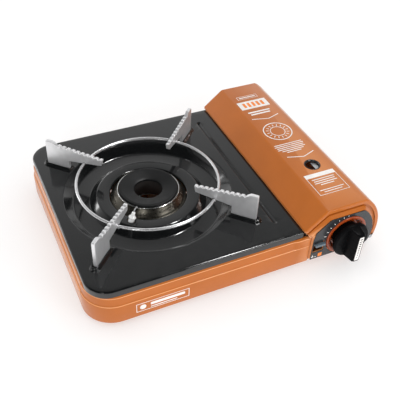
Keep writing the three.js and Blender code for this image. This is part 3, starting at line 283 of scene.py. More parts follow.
gloss_enamel = make_black_enamel("gloss_black_enamel", (0.0060, 0.0066, 0.0070), (0.10, 0.20), 9,
                                 coat=0.5)
satin_enamel = make_black_enamel("satin_black_enamel", (0.0085, 0.0088, 0.0092), (0.34, 0.46), 1.2,
                                 shine=0.22)
print(gloss_enamel.name, "and", satin_enamel.name)

# %% [markdown]
# Moulded plastic has a spark-eroded texture from its mould: a very fine, even grain. The cover beside the
# knob is polished instead, so it keeps a wavy gloss. The collar round the knob is plastic too, in a deeper
# orange than the sheet steel, because its colour goes all the way through.

# %% Plastics
def make_plastic(name, color, roughness, grain_size, depth, coat=0.0, shine=0.5):
    """Plastic with a grain of that size and depth in millimetres."""
    finish = new_finish(name, color, roughness, drift=0.10, patch=12)
    set_gloss(finish, shine, coat, coat_roughness=0.05)
    roughen(finish, grain(finish, grain_size, detail=4), depth)
    return finish


knob_plastic = make_plastic("moulded_black_plastic", (0.0045, 0.0045, 0.005), (0.24, 0.36), 0.35, 0.02,
                            shine=0.04)
cover_plastic = make_plastic("polished_black_plastic", (0.028, 0.029, 0.032), (0.16, 0.26), 4.0, 0.01)
collar_plastic = make_plastic("glossy_red_orange_plastic", (0.33, 0.050, 0.007), (0.16, 0.26), 3.0, 0.01,
                              coat=0.4, shine=0.3)
lever_plastic = make_plastic("pale_grey_plastic", (0.12, 0.16, 0.19), (0.22, 0.34), 0.5, 0.015)
print("plastics:", knob_plastic.name, cover_plastic.name, collar_plastic.name, lever_plastic.name)

# %% [markdown]
# Bare metals differ mostly in how they scatter light. Chromed wire is nearly a mirror. Zinc on steel has
# grown crystals, the spangle, which a cell pattern shows as patches of different gloss. The stamped plates
# of the pan support are brushed, so their noise is drawn out into lines. Brass is turned and slightly
# tarnished. A metal that is fully metallic shows only what it reflects, so the matt ones keep a small
# share of plain grey, as an oxide film does.

# %% Bare metals
RUBBED_AND_HIGHLIGHT_METAL = (0.96, 0.96, 0.97)
RUBBED_AND_HIGHLIGHT_RANGE = (0.51, 0.58)
SPANGLE_SIZE = 5
SPANGLE_GLOSS = (0.26, 0.46)


def make_metal(name, color, roughness, metallic, size, depth, along=(1, 1, 1)):
    """Metal with a grain of that size and depth in millimetres."""
    finish = new_finish(name, color, roughness, metallic, drift=0.07, patch=8)
    roughen(finish, grain(finish, size, detail=3, along=along), depth)
    return finish


def make_spangled_zinc():
    """Zinc whose crystals differ in gloss."""
    finish = new_finish("spangled_zinc", (0.52, 0.53, 0.54), (0.30, 0.45), 0.9, drift=0.06, patch=20)
    spot = add_node(finish, "ShaderNodeTexCoord")
    crystals = add_node(finish, "ShaderNodeTexVoronoi", Scale=1 / (SPANGLE_SIZE * MM))
    wire(finish, spot.outputs["Object"], crystals.inputs["Vector"])
    gloss = between(finish, crystals.outputs["Color"], *SPANGLE_GLOSS, 0, 1)
    wire(finish, gloss, shader_of(finish).inputs["Roughness"])
    roughen(finish, grain(finish, 0.8), 0.006)
    return finish


def make_plate_metal():
    """Brushed metal whose toothed edges are paler: rubbed bright by pans, and partly a painted highlight."""
    finish = make_metal("brushed_plate", (0.68, 0.68, 0.69), (0.30, 0.44), 0.66, 0.5, 0.012, (1, 1, 12))
    # Paler edges: partly rubbing wear, partly painted highlight.
    recolor_edges(finish, RUBBED_AND_HIGHLIGHT_RANGE, RUBBED_AND_HIGHLIGHT_METAL)
    return finish


chrome = make_metal("chromed_wire", (0.80, 0.80, 0.81), (0.16, 0.28), 0.75, 6, 0.01)
skirt_metal = make_metal("heat_browned_steel", (0.13, 0.12, 0.10), (0.24, 0.34), 1.0, 6, 0.003)
lip_metal = make_metal("bright_lip_steel", (0.80, 0.80, 0.78), (0.12, 0.22), 1.0, 5, 0.01)
plate_metal = make_plate_metal()
cast_aluminium = make_metal("cast_aluminium", (0.55, 0.55, 0.56), (0.40, 0.55), 0.8, 0.9, 0.03)
brass = make_metal("turned_brass", (0.58, 0.38, 0.14), (0.22, 0.38), 1.0, 0.4, 0.008)
spangled_zinc = make_spangled_zinc()
print("metals:", chrome.name, skirt_metal.name, plate_metal.name, cast_aluminium.name, brass.name)

# %% [markdown]
# The small parts: matt rubber with a dusty bloom, glazed white ceramic, the red silicone of the ignition
# lead, and printing ink, which is opaque and a little raised. The ink comes in white, orange and black.

# %% Rubber, ceramic, silicone and inks
rubber = make_plastic("foot_rubber", (0.022, 0.022, 0.022), (0.75, 0.90), 0.5, 0.03)
ceramic = make_plastic("glazed_ceramic", (0.97, 0.97, 0.95), (0.10, 0.20), 2.0, 0.01, 0.6)
silicone = make_plastic("red_silicone", (0.35, 0.035, 0.022), (0.45, 0.60), 0.8, 0.01)
white_ink = make_plastic("white_ink", (0.86, 0.83, 0.80), (0.40, 0.55), 0.6, 0.01)
orange_ink = make_plastic("orange_ink", (0.90, 0.24, 0.03), (0.35, 0.50), 0.6, 0.01)
black_ink = make_plastic("black_ink", (0.02, 0.02, 0.02), (0.40, 0.55), 0.6, 0.01)
SLOT_FINISH = {
    "orange_paint": orange_enamel,
    "black_enamel": satin_enamel,
    "black_plastic": knob_plastic,
    "chrome_wire": chrome,
    "zinc_steel": spangled_zinc,
    "aluminium": cast_aluminium,
    "brass": brass,
    "rubber": rubber,
    "ceramic": ceramic,
    "silicone_lead": silicone,
}
print(len(SLOT_FINISH), "slots have a finish")

# %% [markdown]
# Many nodes have the right shape already, but their edges are as sharp as a knife, and their round parts
# are made of flat strips. Real pressed and moulded edges always have a small radius that catches the light.
# We can't touch these meshes, but modifiers are free: a weld joins the points, a dissolve clears the
# triangles from flat faces, a bevel rounds the edges, and weighted normals keep the flats looking flat.

# %% Finish and soften the nodes of the frame
EDGE_WIDTH = {"bottom_tray": 0.3, "partition": 0.25, "control_end": 1.2}
PLATE_EDGE = 0.5
COMMON_EDGE = 0.35
EDGE_ANGLE = math.radians(25)
FLAT_ANGLE = math.radians(1)
SAME_POINT = 1e-6
OWN_FINISH = {"lever_tip": lever_plastic, "fascia": cover_plastic, "bottom_tray": tray_enamel}
slot_of = {part["node"]: part["material_slot"] for part in frame["record"]["subparts"]}


def soften(thing, width):
    """Round the edges of a piece by width millimetres."""
    bevel = thing.modifiers.new("rounded edges", "BEVEL")
    bevel.width = width * MM
    bevel.segments = 2
    bevel.limit_method = "ANGLE"
    bevel.angle_limit = EDGE_ANGLE
    bevel.harden_normals = True
    weighted = thing.modifiers.new("flat faces stay flat", "WEIGHTED_NORMAL")
    weighted.keep_sharp = True


def tidy_facets(thing):
    """Join doubled points and clear the triangles from flat faces."""
    thing.modifiers.new("joined points", "WELD").merge_threshold = SAME_POINT
    dissolve = thing.modifiers.new("whole faces", "DECIMATE")
    dissolve.decimate_type = "DISSOLVE"
    dissolve.angle_limit = FLAT_ANGLE


for name, thing in nodes.items():
    if "custom_normal" in thing.data.attributes:
        thing.data.attributes.remove(thing.data.attributes["custom_normal"])
    thing.data.shade_smooth()
    finish = OWN_FINISH.get(name, SLOT_FINISH[slot_of[name]])
    width = EDGE_WIDTH.get(name, COMMON_EDGE)
    if name.startswith("trivet_plate"):
        finish = plate_metal
        width = PLATE_EDGE
    thing.data.materials.clear()
    thing.data.materials.append(finish)
    tidy_facets(thing)
    soften(thing, width)
print("finished", len(nodes), "nodes")

# %% [markdown]
# The pieces that we make ourselves come from three workshop operations: turning an outline on a lathe,
# extruding an outline into a plate, and sweeping a section. All three start from an outline whose corners
# have radii, so that comes first. Each operation gives points and faces, and one function turns those into
# a finished piece that rides on its body and stands for its node.

# %% Outlines and pieces
DOUBLED = 0.5e-5
SHARP_ANGLE = math.radians(35)


def rounded(corners, closed=True, steps=5):
    """The points of an outline through corners (x, y) or (x, y, radius)."""
    points = []
    for i, corner in enumerate(corners):
        at = Vector(corner[:2])
        radius = corner[2] if len(corner) > 2 else 0
        if not radius or (not closed and i in (0, len(corners) - 1)):
            points.append(at)
            continue
        back = (Vector(corners[i - 1][:2]) - at).normalized()
        on = (Vector(corners[(i + 1) % len(corners)][:2]) - at).normalized()
        half_angle = back.angle(on) / 2
        middle = at + (back + on).normalized() * radius / math.sin(half_angle)
        spoke = at + back * radius / math.tan(half_angle) - middle
        turn = math.pi - 2 * half_angle
        if back.x * on.y - back.y * on.x > 0:
            turn = -turn
        points += [middle + Matrix.Rotation(turn * k / steps, 2) @ spoke for k in range(steps + 1)]
    return points


def shape_mesh(name, points, faces):
    """A mesh from drawing points, with doubled points joined and its faces turned outwards."""
    mesh = bpy.data.meshes.new(name)
    mesh.from_pydata([shop(*point) for point in points], [], faces)
    build = bmesh.new()
    build.from_mesh(mesh)
    bmesh.ops.remove_doubles(build, verts=build.verts, dist=DOUBLED)
    bmesh.ops.recalc_face_normals(build, faces=build.faces)
    build.to_mesh(mesh)
    build.free()
    return mesh


def add_piece(name, mesh, finish, body, stands_for=(), sharp=SHARP_ANGLE):
    """Link a mesh as a finished piece that rides on its body."""
    mesh.materials.append(finish)
    mesh.shade_smooth()
    mesh.set_sharp_from_angle(angle=sharp)
    thing = bpy.data.objects.new(name, mesh)
    scene.collection.objects.link(thing)
    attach(thing, body)
    if stands_for:
        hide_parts(*stands_for)
    return thing


def add_shape(name, shape, finish, body, stands_for=()):
    """Add a piece made from drawing points and faces."""
    return add_piece(name, shape_mesh(name, *shape), finish, body, stands_for)


def joined(*shapes):
    """Several (points, faces) shapes as one."""
    points, faces = [], []
    for more_points, more_faces in shapes:
        faces += [[index + len(points) for index in face] for face in more_faces]
        points += more_points
    return points, faces


print("outline tools ready")

# %% [markdown]
# Turning: the outline holds radius and height, and it goes round an axis. Most round parts of the stove
# stand upright, but those of the control end point forward, so a second function has a lying axis.

# %% Lathe, plate and sweep
def closed_rings(count, size, ends_meet):
    """Faces between rings of points; the last ring meets the first, or the two ends get lids."""
    faces = []
    for i in range(count if ends_meet else count - 1):
        for j in range(size):
            k = (j + 1) % size
            ahead = (i + 1) % count * size
            faces.append([i * size + j, i * size + k, ahead + k, ahead + j])
    if not ends_meet:
        faces.append(list(range(size)))
        faces.append([(count - 1) * size + j for j in range(size)])
    return faces


def turned(profile, x, y, sides=96):
    """A body of revolution about the upright axis through x, y."""
    points = []
    for i in range(sides):
        angle = 2 * math.pi * i / sides
        points += [(x + r * math.cos(angle), y + r * math.sin(angle), z) for r, z in profile]
    return points, closed_rings(sides, len(profile), True)


def turned_forward(profile, x, z, sides=96):
    """The same about a lying axis through x, z; heights count forward from the front wall."""
    points = []
    for i in range(sides):
        angle = 2 * math.pi * i / sides
        points += [(x + r * math.cos(angle), -WALL_Y - h, z + r * math.sin(angle)) for r, h in profile]
    return points, closed_rings(sides, len(profile), True)


def circle(radius, x=0.0, y=0.0, sides=20):
    """A round outline."""
    turns = [2 * math.pi * i / sides for i in range(sides)]
    return [(x + radius * math.cos(turn), y + radius * math.sin(turn)) for turn in turns]


def plate(corners, low, high, place):
    """A flat outline pushed from low to high; place turns (u, v, w) into a drawing point."""
    rings = [[place(u, v, w) for u, v in corners] for w in (low, high)]
    return rings[0] + rings[1], closed_rings(2, len(corners), False)


def lying(u, v, w):
    """Places an outline level, pushed upwards."""
    return u, v, w


def standing(u, v, w):
    """Places an outline upright, seen from the front and pushed backwards."""
    return u, w, v


def box(x0, x1, y0, y1, z0, z1):
    """A closed box between drawing coordinates."""
    return plate([(x0, y0), (x1, y0), (x1, y1), (x0, y1)], z0, z1, lying)


def carve(thing, *shapes):
    """Cut closed shapes out of a piece for good."""
    for shape in shapes:
        cutter = bpy.data.objects.new("cutter", shape_mesh("cutter", *shape))
        scene.collection.objects.link(cutter)
        cutting = thing.modifiers.new("cut", "BOOLEAN")
        cutting.operation = "DIFFERENCE"
        cutting.solver = "EXACT"
        cutting.object = cutter
        bpy.context.view_layer.update()
        carved = bpy.data.meshes.new_from_object(thing.evaluated_get(bpy.context.evaluated_depsgraph_get()))
        thing.modifiers.clear()
        before = thing.data
        thing.data = carved
        bpy.data.meshes.remove(before)
        bpy.data.objects.remove(cutter)
    thing.data.shade_smooth()
    thing.data.set_sharp_from_angle(angle=SHARP_ANGLE)
    return thing


print("lathe, plate, sweep and cutter ready")

# %% [markdown]
# The drip pan is one deep-drawn sheet: a flat deck with a rolled rim, a round recess with a trough and a
# crest round the burner, four ridges with sockets for the support's plates, and four low bosses. It could
# be joined from solids, but a drawn sheet has no hard joints. So we lay a net of points over it, drop each
# point to the sheet's height at that place, and thicken the net. The net's lines run along the ridges
# where they pass them, so that the ridges stay crisp. The rim hangs down all round; beside the lid it is
# shorter, so that it stays clear of the lid.

# %% Pan measures
pan_low, pan_high = measured("drip_pan")
RIDGE_HEIGHT = 3.4
SOCKET_DEPTH = 2
DECK_Z = pan_high.z - RIDGE_HEIGHT
PAN_SHEET = 1.1
RIM_RADIUS = 2
RIM_DEPTH = 8.3
RIM_DEPTH_AT_LID = 4.2
RECESS = 99.6
CREST_Z = DECK_Z - 3.1
TROUGH_Z = DECK_Z - 12.4
HOLE = 45.6
BOWL = rounded(
    [
        (HOLE, CREST_Z - 3.5),
        (HOLE, CREST_Z - 0.2, 1.5),
        (60.4, CREST_Z + 0.2, 3),
        (69.4, TROUGH_Z, 3),
        (88.4, TROUGH_Z, 4),
        (RECESS - 0.6, DECK_Z, 2),
        (RECESS + 2, DECK_Z),
    ],
    closed=False,
    steps=7,
)
print("deck at", round(DECK_Z, 1), "mm, rim", RIM_DEPTH, "mm deep,", len(BOWL), "points in the bowl")

# %% Height of the pressed sheet
DIAGONALS = [math.radians(45 + 90 * i) for i in range(4)]
RIDGE_START, RIDGE_END = 103, 137.5
RIDGE_HALF = 4
RIDGE_RUN = 2
SOCKET_START, SOCKET_END = 97, 136.5
SOCKET_HALF = 3
SOCKET_RUN = 0.5
BOSS_AT = 79.2
BOSS_HALF = (5.5, 15)
BOSS_HEIGHT = 1.4
BOSS_EDGE, BOSS_RUN = 1.06, 0.4
PRESSED_HALF = BOSS_HALF[1] + 3


def smooth_step(value):
    """Goes gently from 0 to 1."""
    value = min(1, max(0, value))
    return value * value * (3 - 2 * value)


def outside_bar(along, across, begin, end, half_width):
    """Distance to a bar along a diagonal; it is negative inside, and the outer end is round."""
    reach = end - half_width
    if along > reach:
        return math.hypot(along - reach, across) - half_width
    return max(begin - along, abs(across) - half_width)


def pressed(x, y, sheet_z):
    """Height of the sheet with its ridges, sockets and bosses; x and y count from the burner."""
    for diagonal in DIAGONALS:
        along = x * math.cos(diagonal) + y * math.sin(diagonal)
        across = y * math.cos(diagonal) - x * math.sin(diagonal)
        if along < HOLE or abs(across) > PRESSED_HALF:
            continue
        ridge = outside_bar(along, across, RIDGE_START, RIDGE_END, RIDGE_HALF)
        rise = RIDGE_HEIGHT * smooth_step(1 - ridge / RIDGE_RUN)
        socket = outside_bar(along, across, SOCKET_START, SOCKET_END, SOCKET_HALF)
        level = sheet_z + rise
        bottom = min(level, DECK_Z + RIDGE_HEIGHT - SOCKET_DEPTH)
        level += (bottom - level) * smooth_step(0.5 - socket / SOCKET_RUN)
        oval = math.hypot((along - BOSS_AT) / BOSS_HALF[0], across / BOSS_HALF[1])
        return level + BOSS_HEIGHT * smooth_step((BOSS_EDGE - oval) / BOSS_RUN)
    return sheet_z


print("ridges", RIDGE_HEIGHT, "mm high, with sockets", SOCKET_DEPTH, "mm deep")

# %% Outline of the pan
pan_middle = ((pan_low.x + pan_high.x) / 2 - BURNER_X, 0)
pan_half = ((pan_high.x - pan_low.x) / 2 - RIM_RADIUS, pan_high.y - RIM_RADIUS)
LEFT_CORNER, RIGHT_CORNER = 26 - RIM_RADIUS, 3 - RIM_RADIUS
LINE_LENGTH = 300.0
HALVINGS = 40


def outside_deck(x, y):
    """Distance to the deck's edge, where the rolled rim starts; it is negative on the deck."""
    radius = LEFT_CORNER if x < pan_middle[0] else RIGHT_CORNER
    over_x = abs(x - pan_middle[0]) - pan_half[0] + radius
    over_y = abs(y) - pan_half[1] + radius
    return min(max(over_x, over_y), 0) + math.hypot(max(over_x, 0), max(over_y, 0)) - radius


def to_deck_edge(x, y, step_x, step_y):
    """Where a line from x, y meets the deck's edge, found by halving."""
    near, far = 0.0, LINE_LENGTH
    for _ in range(HALVINGS):
        half_way = (near + far) / 2
        if outside_deck(x + step_x * half_way, y + step_y * half_way) < 0:
            near = half_way
        else:
            far = half_way
    return x + step_x * near, y + step_y * near


print("pan is", round(pan_high.x - pan_low.x, 1), "by", round(pan_high.y - pan_low.y, 1), "mm")

# %% Net over the pan
HALF_OFFSETS = [1.5, 2.4, 2.7, 2.9, 3.1, 3.3, 3.6, 4, 4.5, 5, 5.5, 6, 7, 9]
OFFSETS = [-offset for offset in reversed(HALF_OFFSETS)] + [0] + HALF_OFFSETS
LINES_BETWEEN = 40
NET_START = RECESS + 2
NET_END = RIDGE_END + 4
LONG_STEPS = [NET_START + 0.4 + k * 1.2 for k in range(27)]
SHORT_STEPS = [RIDGE_END - 3.4 + k * 0.6 for k in range(14)]
OUT_STEPS = sorted(step for step in LONG_STEPS + SHORT_STEPS if step < NET_END)
FLAT_RUN = 18
FLAT_STEPS = 4
ROLL_STEPS = 6
TOWARDS_LID = 0.7


def net_lines():
    """Each line of the net as its diagonal, its distance from it, and its share of the way to the next."""
    lines = []
    for diagonal in DIAGONALS:
        lines += [(diagonal, offset, 0) for offset in OFFSETS]
        for k in range(1, LINES_BETWEEN + 1):
            share = (1 - math.cos(math.pi * k / (LINES_BETWEEN + 1))) / 2
            lines.append((diagonal, OFFSETS[-1], share))
    return lines


def line_angle(line, radius):
    """Angle at which a line crosses a circle; lines beside a diagonal keep their distance from it."""
    diagonal, offset, share = line
    lean = math.asin(offset / radius)
    return diagonal + lean + share * (math.pi / 2 - 2 * lean)


def outer_points(line):
    """The points of one line from the recess out over the deck."""
    diagonal, offset, share = line
    angle = line_angle(line, NET_START)
    x, y = NET_START * math.cos(angle), NET_START * math.sin(angle)
    if share:
        edge_x, edge_y = to_deck_edge(x, y, math.cos(angle), math.sin(angle))
        span = OUT_STEPS[-1] - NET_START + FLAT_RUN
        shares = [(step - NET_START) / span for step in OUT_STEPS]
    else:
        edge_x, edge_y = to_deck_edge(x, y, math.cos(diagonal), math.sin(diagonal))
        begin = math.sqrt(NET_START**2 - offset**2)
        span = math.hypot(edge_x - x, edge_y - y)
        shares = [(step - begin) / span for step in OUT_STEPS]
    last = shares[-1]
    shares += [last + (1 - last) * k / FLAT_STEPS for k in range(1, FLAT_STEPS + 1)]
    return [(x + (edge_x - x) * part, y + (edge_y - y) * part) for part in shares]


def rim_points(x, y):
    """Points of the rolled rim beyond an edge point of the deck."""
    tiny = 0.01
    slope_x = outside_deck(x + tiny, y) - outside_deck(x - tiny, y)
    slope_y = outside_deck(x, y + tiny) - outside_deck(x, y - tiny)
    out = Vector((slope_x, slope_y)).normalized()
    points = []
    for k in range(1, ROLL_STEPS + 1):
        angle = math.pi / 2 * k / ROLL_STEPS
        reach = RIM_RADIUS * math.sin(angle)
        drop = RIM_RADIUS * (1 - math.cos(angle))
        points.append((x + out.x * reach, y + out.y * reach, DECK_Z - drop))
    depth = RIM_DEPTH_AT_LID if out.x > TOWARDS_LID else RIM_DEPTH
    points.append((points[-1][0], points[-1][1], DECK_Z - depth))
    return points


def pan_net():
    """Points and faces of the whole sheet, one row of points for each line."""
    points = []
    lines = net_lines()
    for line in lines:
        row = []
        for radius, z in BOWL:
            angle = line_angle(line, radius)
            x, y = radius * math.cos(angle), radius * math.sin(angle)
            row.append((x, y, pressed(x, y, z)))
        row += [(x, y, pressed(x, y, DECK_Z)) for x, y in outer_points(line)]
        row += rim_points(row[-1][0], row[-1][1])
        points += [(BURNER_X + x, y, z) for x, y, z in row]
    size = len(points) // len(lines)
    faces = []
    for i in range(len(lines)):
        ahead = (i + 1) % len(lines) * size
        faces += [[i * size + j, i * size + j + 1, ahead + j + 1, ahead + j] for j in range(size - 1)]
    return points, faces


pan_mesh = shape_mesh("pressed_drip_pan", *pan_net())
print("pan net:", len(pan_mesh.polygons), "faces")

# %% [markdown]
# Beside the lid the pan has a long shallow groove, which stops spilt water. The net has no lines along it,
# so a groove pressed into the net as it is would come out ragged. Slicing the net along the groove first
# gives it lines there, and then the points between them are pushed down.

# %% Groove beside the lid
GROOVE_X = pan_high.x - 23.9
GROOVE_REACH = 3.0
GROOVE_HALF = 107
GROOVE_DEPTH = 2.4
GROOVE_SLICES = 5
SLICED_HALF = 4 * GROOVE_REACH


def groove_drop(x, y):
    """How far the groove pushes the sheet down at x, y."""
    beyond = max(abs(y) - GROOVE_HALF + GROOVE_REACH, 0)
    return GROOVE_DEPTH * smooth_step(1 - math.hypot(x - GROOVE_X, beyond) / GROOVE_REACH)


def press_groove(mesh):
    """Slice the net where the groove runs, then push its points down."""
    build = bmesh.new()
    build.from_mesh(mesh)
    for k in range(-GROOVE_SLICES, GROOVE_SLICES + 1):
        beside = GROOVE_REACH * k / GROOVE_SLICES
        end = GROOVE_HALF - GROOVE_REACH + abs(beside)
        cuts = [(shop(GROOVE_X + beside, 0, 0), (1, 0, 0))]
        cuts += [(shop(0, side * end, 0), (0, 1, 0)) for side in (-1, 1)]
        for place, normal in cuts:
            near = [face for face in build.faces
                    if abs((face.calc_center_median().x - start.x) / MM - GROOVE_X) < SLICED_HALF]
            around = near + list({edge for face in near for edge in face.edges})
            around += list({vert for face in near for vert in face.verts})
            bmesh.ops.bisect_plane(build, geom=around, plane_co=place, plane_no=normal)
    for vert in build.verts:
        x, y, z = (vert.co - start) / MM
        vert.co = shop(x, y, z - groove_drop(x, y))
    build.to_mesh(mesh)
    build.free()


press_groove(pan_mesh)
pan = add_piece("pressed_drip_pan", pan_mesh, gloss_enamel, "body", ["drip_pan"],
                sharp=math.radians(50))
thickness = pan.modifiers.new("sheet", "SOLIDIFY")
thickness.thickness = PAN_SHEET * MM
thickness.offset = -1
print("groove", 2 * GROOVE_HALF, "mm long,", GROOVE_DEPTH, "mm deep")

# %% [markdown]
# A round notch in the edge of the burner's hole lets the spark electrode stand up through the pan. It is
# cut after the sheet has its thickness, so that the cut edge shows both faces of the sheet.

# %% Electrode notch
ELECTRODE = Vector((80, -37.2))
NOTCH_RADIUS = 5
NOTCH_REACH = 12


def notch_shape():
    """A slot from the burner's hole out round the electrode."""
    inward = (Vector((BURNER_X, 0)) - ELECTRODE).normalized()
    side = Vector((-inward.y, inward.x))
    corners = []
    for along, across in ((-NOTCH_RADIUS, -1), (NOTCH_REACH, -1), (NOTCH_REACH, 1), (-NOTCH_RADIUS, 1)):
        corner = ELECTRODE + inward * along + side * across * NOTCH_RADIUS
        corners.append((corner.x, corner.y, NOTCH_RADIUS * 0.98 if along < 0 else 0))
    return plate(rounded(corners), CREST_Z - 8, CREST_Z + 4, lying)


carve(pan, notch_shape())
print("pan after the cuts:", len(pan.data.polygons), "faces")

# %% [markdown]
# The burner is a dished ring with a hole in its middle, so that air reaches the flames from inside too. Its
# cap rests on a cast trough, and flame ports open under the cap's edge. A skirt closes the gap to the pan,
# with a bright lip round its top. All of them are turned parts, and on the lathe their corners get the
# radii of the real castings.

# %% Burner cap, trough and skirt
BURNER_Y = 0
burner_low, burner_high = measured("burner_cap")
CAP_RADIUS = (burner_high.x - burner_low.x) / 2
CAP_TOP = burner_high.z
CAP_HOLE = 16.6
CAP_DISH = 3.3
CAP_RIM = 3
PORTS = 32
PORT_SIZE = (5, 1.3, 1.4)
GAP = 0.3
TROUGH_FLOOR = measured("burner_body")[0].z
TROUGH_OUTER = CAP_RADIUS + GAP
TROUGH_INNER = CAP_HOLE + 1.2
CAST_WALL = 1.6


def cap_outline():
    under = CAP_TOP - CAP_RIM
    seat = CAP_TOP - CAP_DISH - CAP_RIM + GAP
    return rounded([
        (CAP_HOLE, seat, 0.3),
        (TROUGH_INNER + CAST_WALL + 1.6, seat, 0.3),
        (TROUGH_OUTER - CAST_WALL - 3, under, 1),
        (CAP_RADIUS, under, 0.3),
        (CAP_RADIUS, CAP_TOP, 0.8),
        (CAP_RADIUS - 3.2, CAP_TOP - 0.1, 2),
        (CAP_HOLE + 2.6, CAP_TOP - CAP_DISH + 0.6, 6),
        (CAP_HOLE, CAP_TOP - CAP_DISH - 0.2, 0.6),
    ], steps=4)


def ports():
    """Small slots all round, under the cap's edge."""
    shapes = []
    length, width, height = PORT_SIZE
    under = CAP_TOP - CAP_RIM
    for i in range(PORTS):
        turn = Matrix.Rotation(2 * math.pi * (i + 0.5) / PORTS, 2)

        def place(u, v, w):
            out = turn @ Vector((u, v))
            return BURNER_X + out.x, BURNER_Y + out.y, w

        near, far = CAP_RADIUS + 1 - length, CAP_RADIUS + 1
        corners = [(near, -width / 2), (far, -width / 2), (far, width / 2), (near, width / 2)]
        shapes.append(plate(corners, under - 1, under + height, place))
    return joined(*shapes)


def trough_outline():
    rim = CAP_TOP - CAP_RIM - GAP
    seat = CAP_TOP - CAP_DISH - CAP_RIM
    return rounded([
        (TROUGH_INNER, TROUGH_FLOOR, 1),
        (TROUGH_OUTER, TROUGH_FLOOR, 2),
        (TROUGH_OUTER, rim, 0.3),
        (TROUGH_OUTER - CAST_WALL, rim, 0.3),
        (TROUGH_OUTER - CAST_WALL, TROUGH_FLOOR + CAST_WALL, 1.5),
        (TROUGH_INNER + CAST_WALL, TROUGH_FLOOR + CAST_WALL, 1.5),
        (TROUGH_INNER + CAST_WALL, seat, 0.3),
        (TROUGH_INNER, seat, 0.3),
    ], steps=4)


LIP_WIRE = 0.75
LIP_RADIUS = TROUGH_OUTER + GAP + LIP_WIRE
LIP_Z = CAP_TOP - 2.2 - LIP_WIRE
LIP_SIDES = 128


def skirt_outline():
    """A flare from under the lip down to the pan's hole."""
    edge = HOLE - 0.7
    foot = CREST_Z - 4.3
    return rounded([
        (LIP_RADIUS, LIP_Z - 0.2),
        (LIP_RADIUS + 0.7, LIP_Z - 0.6, 0.4),
        (edge - 2.6, foot + 2.2, 5),
        (edge, foot + 0.8, 0.2),
        (edge, foot, 0.2),
        (edge - 3.2, foot + 1.4, 4),
        (LIP_RADIUS, LIP_Z - 1.4, 0.3),
        (LIP_RADIUS - 0.4, LIP_Z - 0.8),
    ], steps=6)


def add_burner_part(name, outline, finish, node):
    """A part turned about the burner's axis."""
    return add_shape(name, turned(outline, BURNER_X, BURNER_Y), finish, "body", [node])


sooty_cast = make_metal("sooty_cast_metal", (0.035, 0.030, 0.028), (0.50, 0.65), 0.3, 0.9, 0.03)
cap = add_burner_part("dished_burner_cap", cap_outline(), satin_enamel, "burner_cap")
carve(cap, ports())
add_burner_part("cast_burner_trough", trough_outline(), sooty_cast, "burner_body")
add_burner_part("flared_burner_skirt", skirt_outline(), skirt_metal, "burner_skirt")
lip_shape = turned(circle(LIP_WIRE, LIP_RADIUS, LIP_Z), BURNER_X, BURNER_Y, LIP_SIDES)
add_shape("bright_skirt_lip", lip_shape, lip_metal, "body")
print("burner cap", round(2 * CAP_RADIUS, 1), "mm across with", PORTS, "ports")

# %% [markdown]
# The spark electrode is a white ceramic rod with a collar, leaning towards the burner. The lathe makes it
# upright, and then its points are tilted about its foot, because a tilted object would not sit at the
# origin as the frame's own nodes do.

# %% Spark electrode
LEAN = math.radians(16)
ROD_RADIUS = 3.6
ROD_RISE = 11.2
rod_foot = measured("electrode_insulator")[0].z


def tilted(shape, x, y, z, angle):
    """The shape leaned towards +x about a point."""
    turn = Matrix.Rotation(angle, 3, "Y")
    points = [turn @ (Vector(point) - Vector((x, y, z))) + Vector((x, y, z)) for point in shape[0]]
    return [tuple(point) for point in points], shape[1]


def rod_outline():
    r = ROD_RADIUS
    foot = CREST_Z + (rod_foot - CREST_Z) * 0.97
    return rounded([
        (0, foot),
        (r - 1, foot),
        (r - 1, CREST_Z - 9),
        (r, CREST_Z - 9, 0.4),
        (r, CREST_Z + ROD_RISE * 0.26, 0.4),
        (r + 0.9, CREST_Z + ROD_RISE * 0.36, 0.6),
        (r, CREST_Z + ROD_RISE * 0.46, 0.4),
        (r - 1.3, CREST_Z + ROD_RISE * 0.62, 1),
        (r - 1.6, CREST_Z + ROD_RISE, 0.9),
        (0, CREST_Z + ROD_RISE),
    ])


rod = tilted(turned(rod_outline(), ELECTRODE.x, ELECTRODE.y, 48), ELECTRODE.x, ELECTRODE.y, CREST_Z, LEAN)
add_shape("ceramic_electrode", rod, ceramic, "body", ["electrode_insulator"])
print("electrode stands", ROD_RISE, "mm out of the pan")

# %% [markdown]
# The pan support's plates are welded to a chromed ring. The ring is one turn of drawn wire, so it is a
# round section carried round a circle, which is what the lathe does with a small round outline. Each
# crossing has two beads of weld, which the stamped plates alone don't show.

# %% Support ring and welds
ring_low, ring_high = measured("trivet_ring")
WIRE_RADIUS = (ring_high.z - ring_low.z) / 2
RING_RADIUS = (ring_high.x - ring_low.x) / 2 - WIRE_RADIUS
RING_Z = (ring_high.z + ring_low.z) / 2
RING_SIDES = 160
WELD_RADIUS = 1.3
PLATE_HALF = 2.2
BEAD_STEP = 18
BEAD_SIDES = 12


def bead(x, y, z, radius):
    """A small ball of weld."""
    angles = [math.radians(degrees) for degrees in range(-90, 91, BEAD_STEP)]
    arc = [(radius * math.cos(angle), z + radius * math.sin(angle)) for angle in angles]
    return turned(arc, x, y, BEAD_SIDES)


ring_shape = turned(circle(WIRE_RADIUS, RING_RADIUS, RING_Z), BURNER_X, BURNER_Y, RING_SIDES)
add_shape("chromed_support_ring", ring_shape, chrome, "pan_support", ["trivet_ring"])
welds = []
for diagonal in DIAGONALS:
    for side in (-1, 1):
        turn = diagonal + side * (PLATE_HALF + WELD_RADIUS * 0.4) / RING_RADIUS
        out = RING_RADIUS + WIRE_RADIUS * 0.5
        x = BURNER_X + out * math.cos(turn)
        y = BURNER_Y + out * math.sin(turn)
        welds.append(bead(x, y, RING_Z - WIRE_RADIUS * 0.8, WELD_RADIUS))
add_shape("weld_beads", joined(*welds), spangled_zinc, "pan_support")
print("ring", round(2 * RING_RADIUS, 1), "mm across,", len(welds), "weld beads")
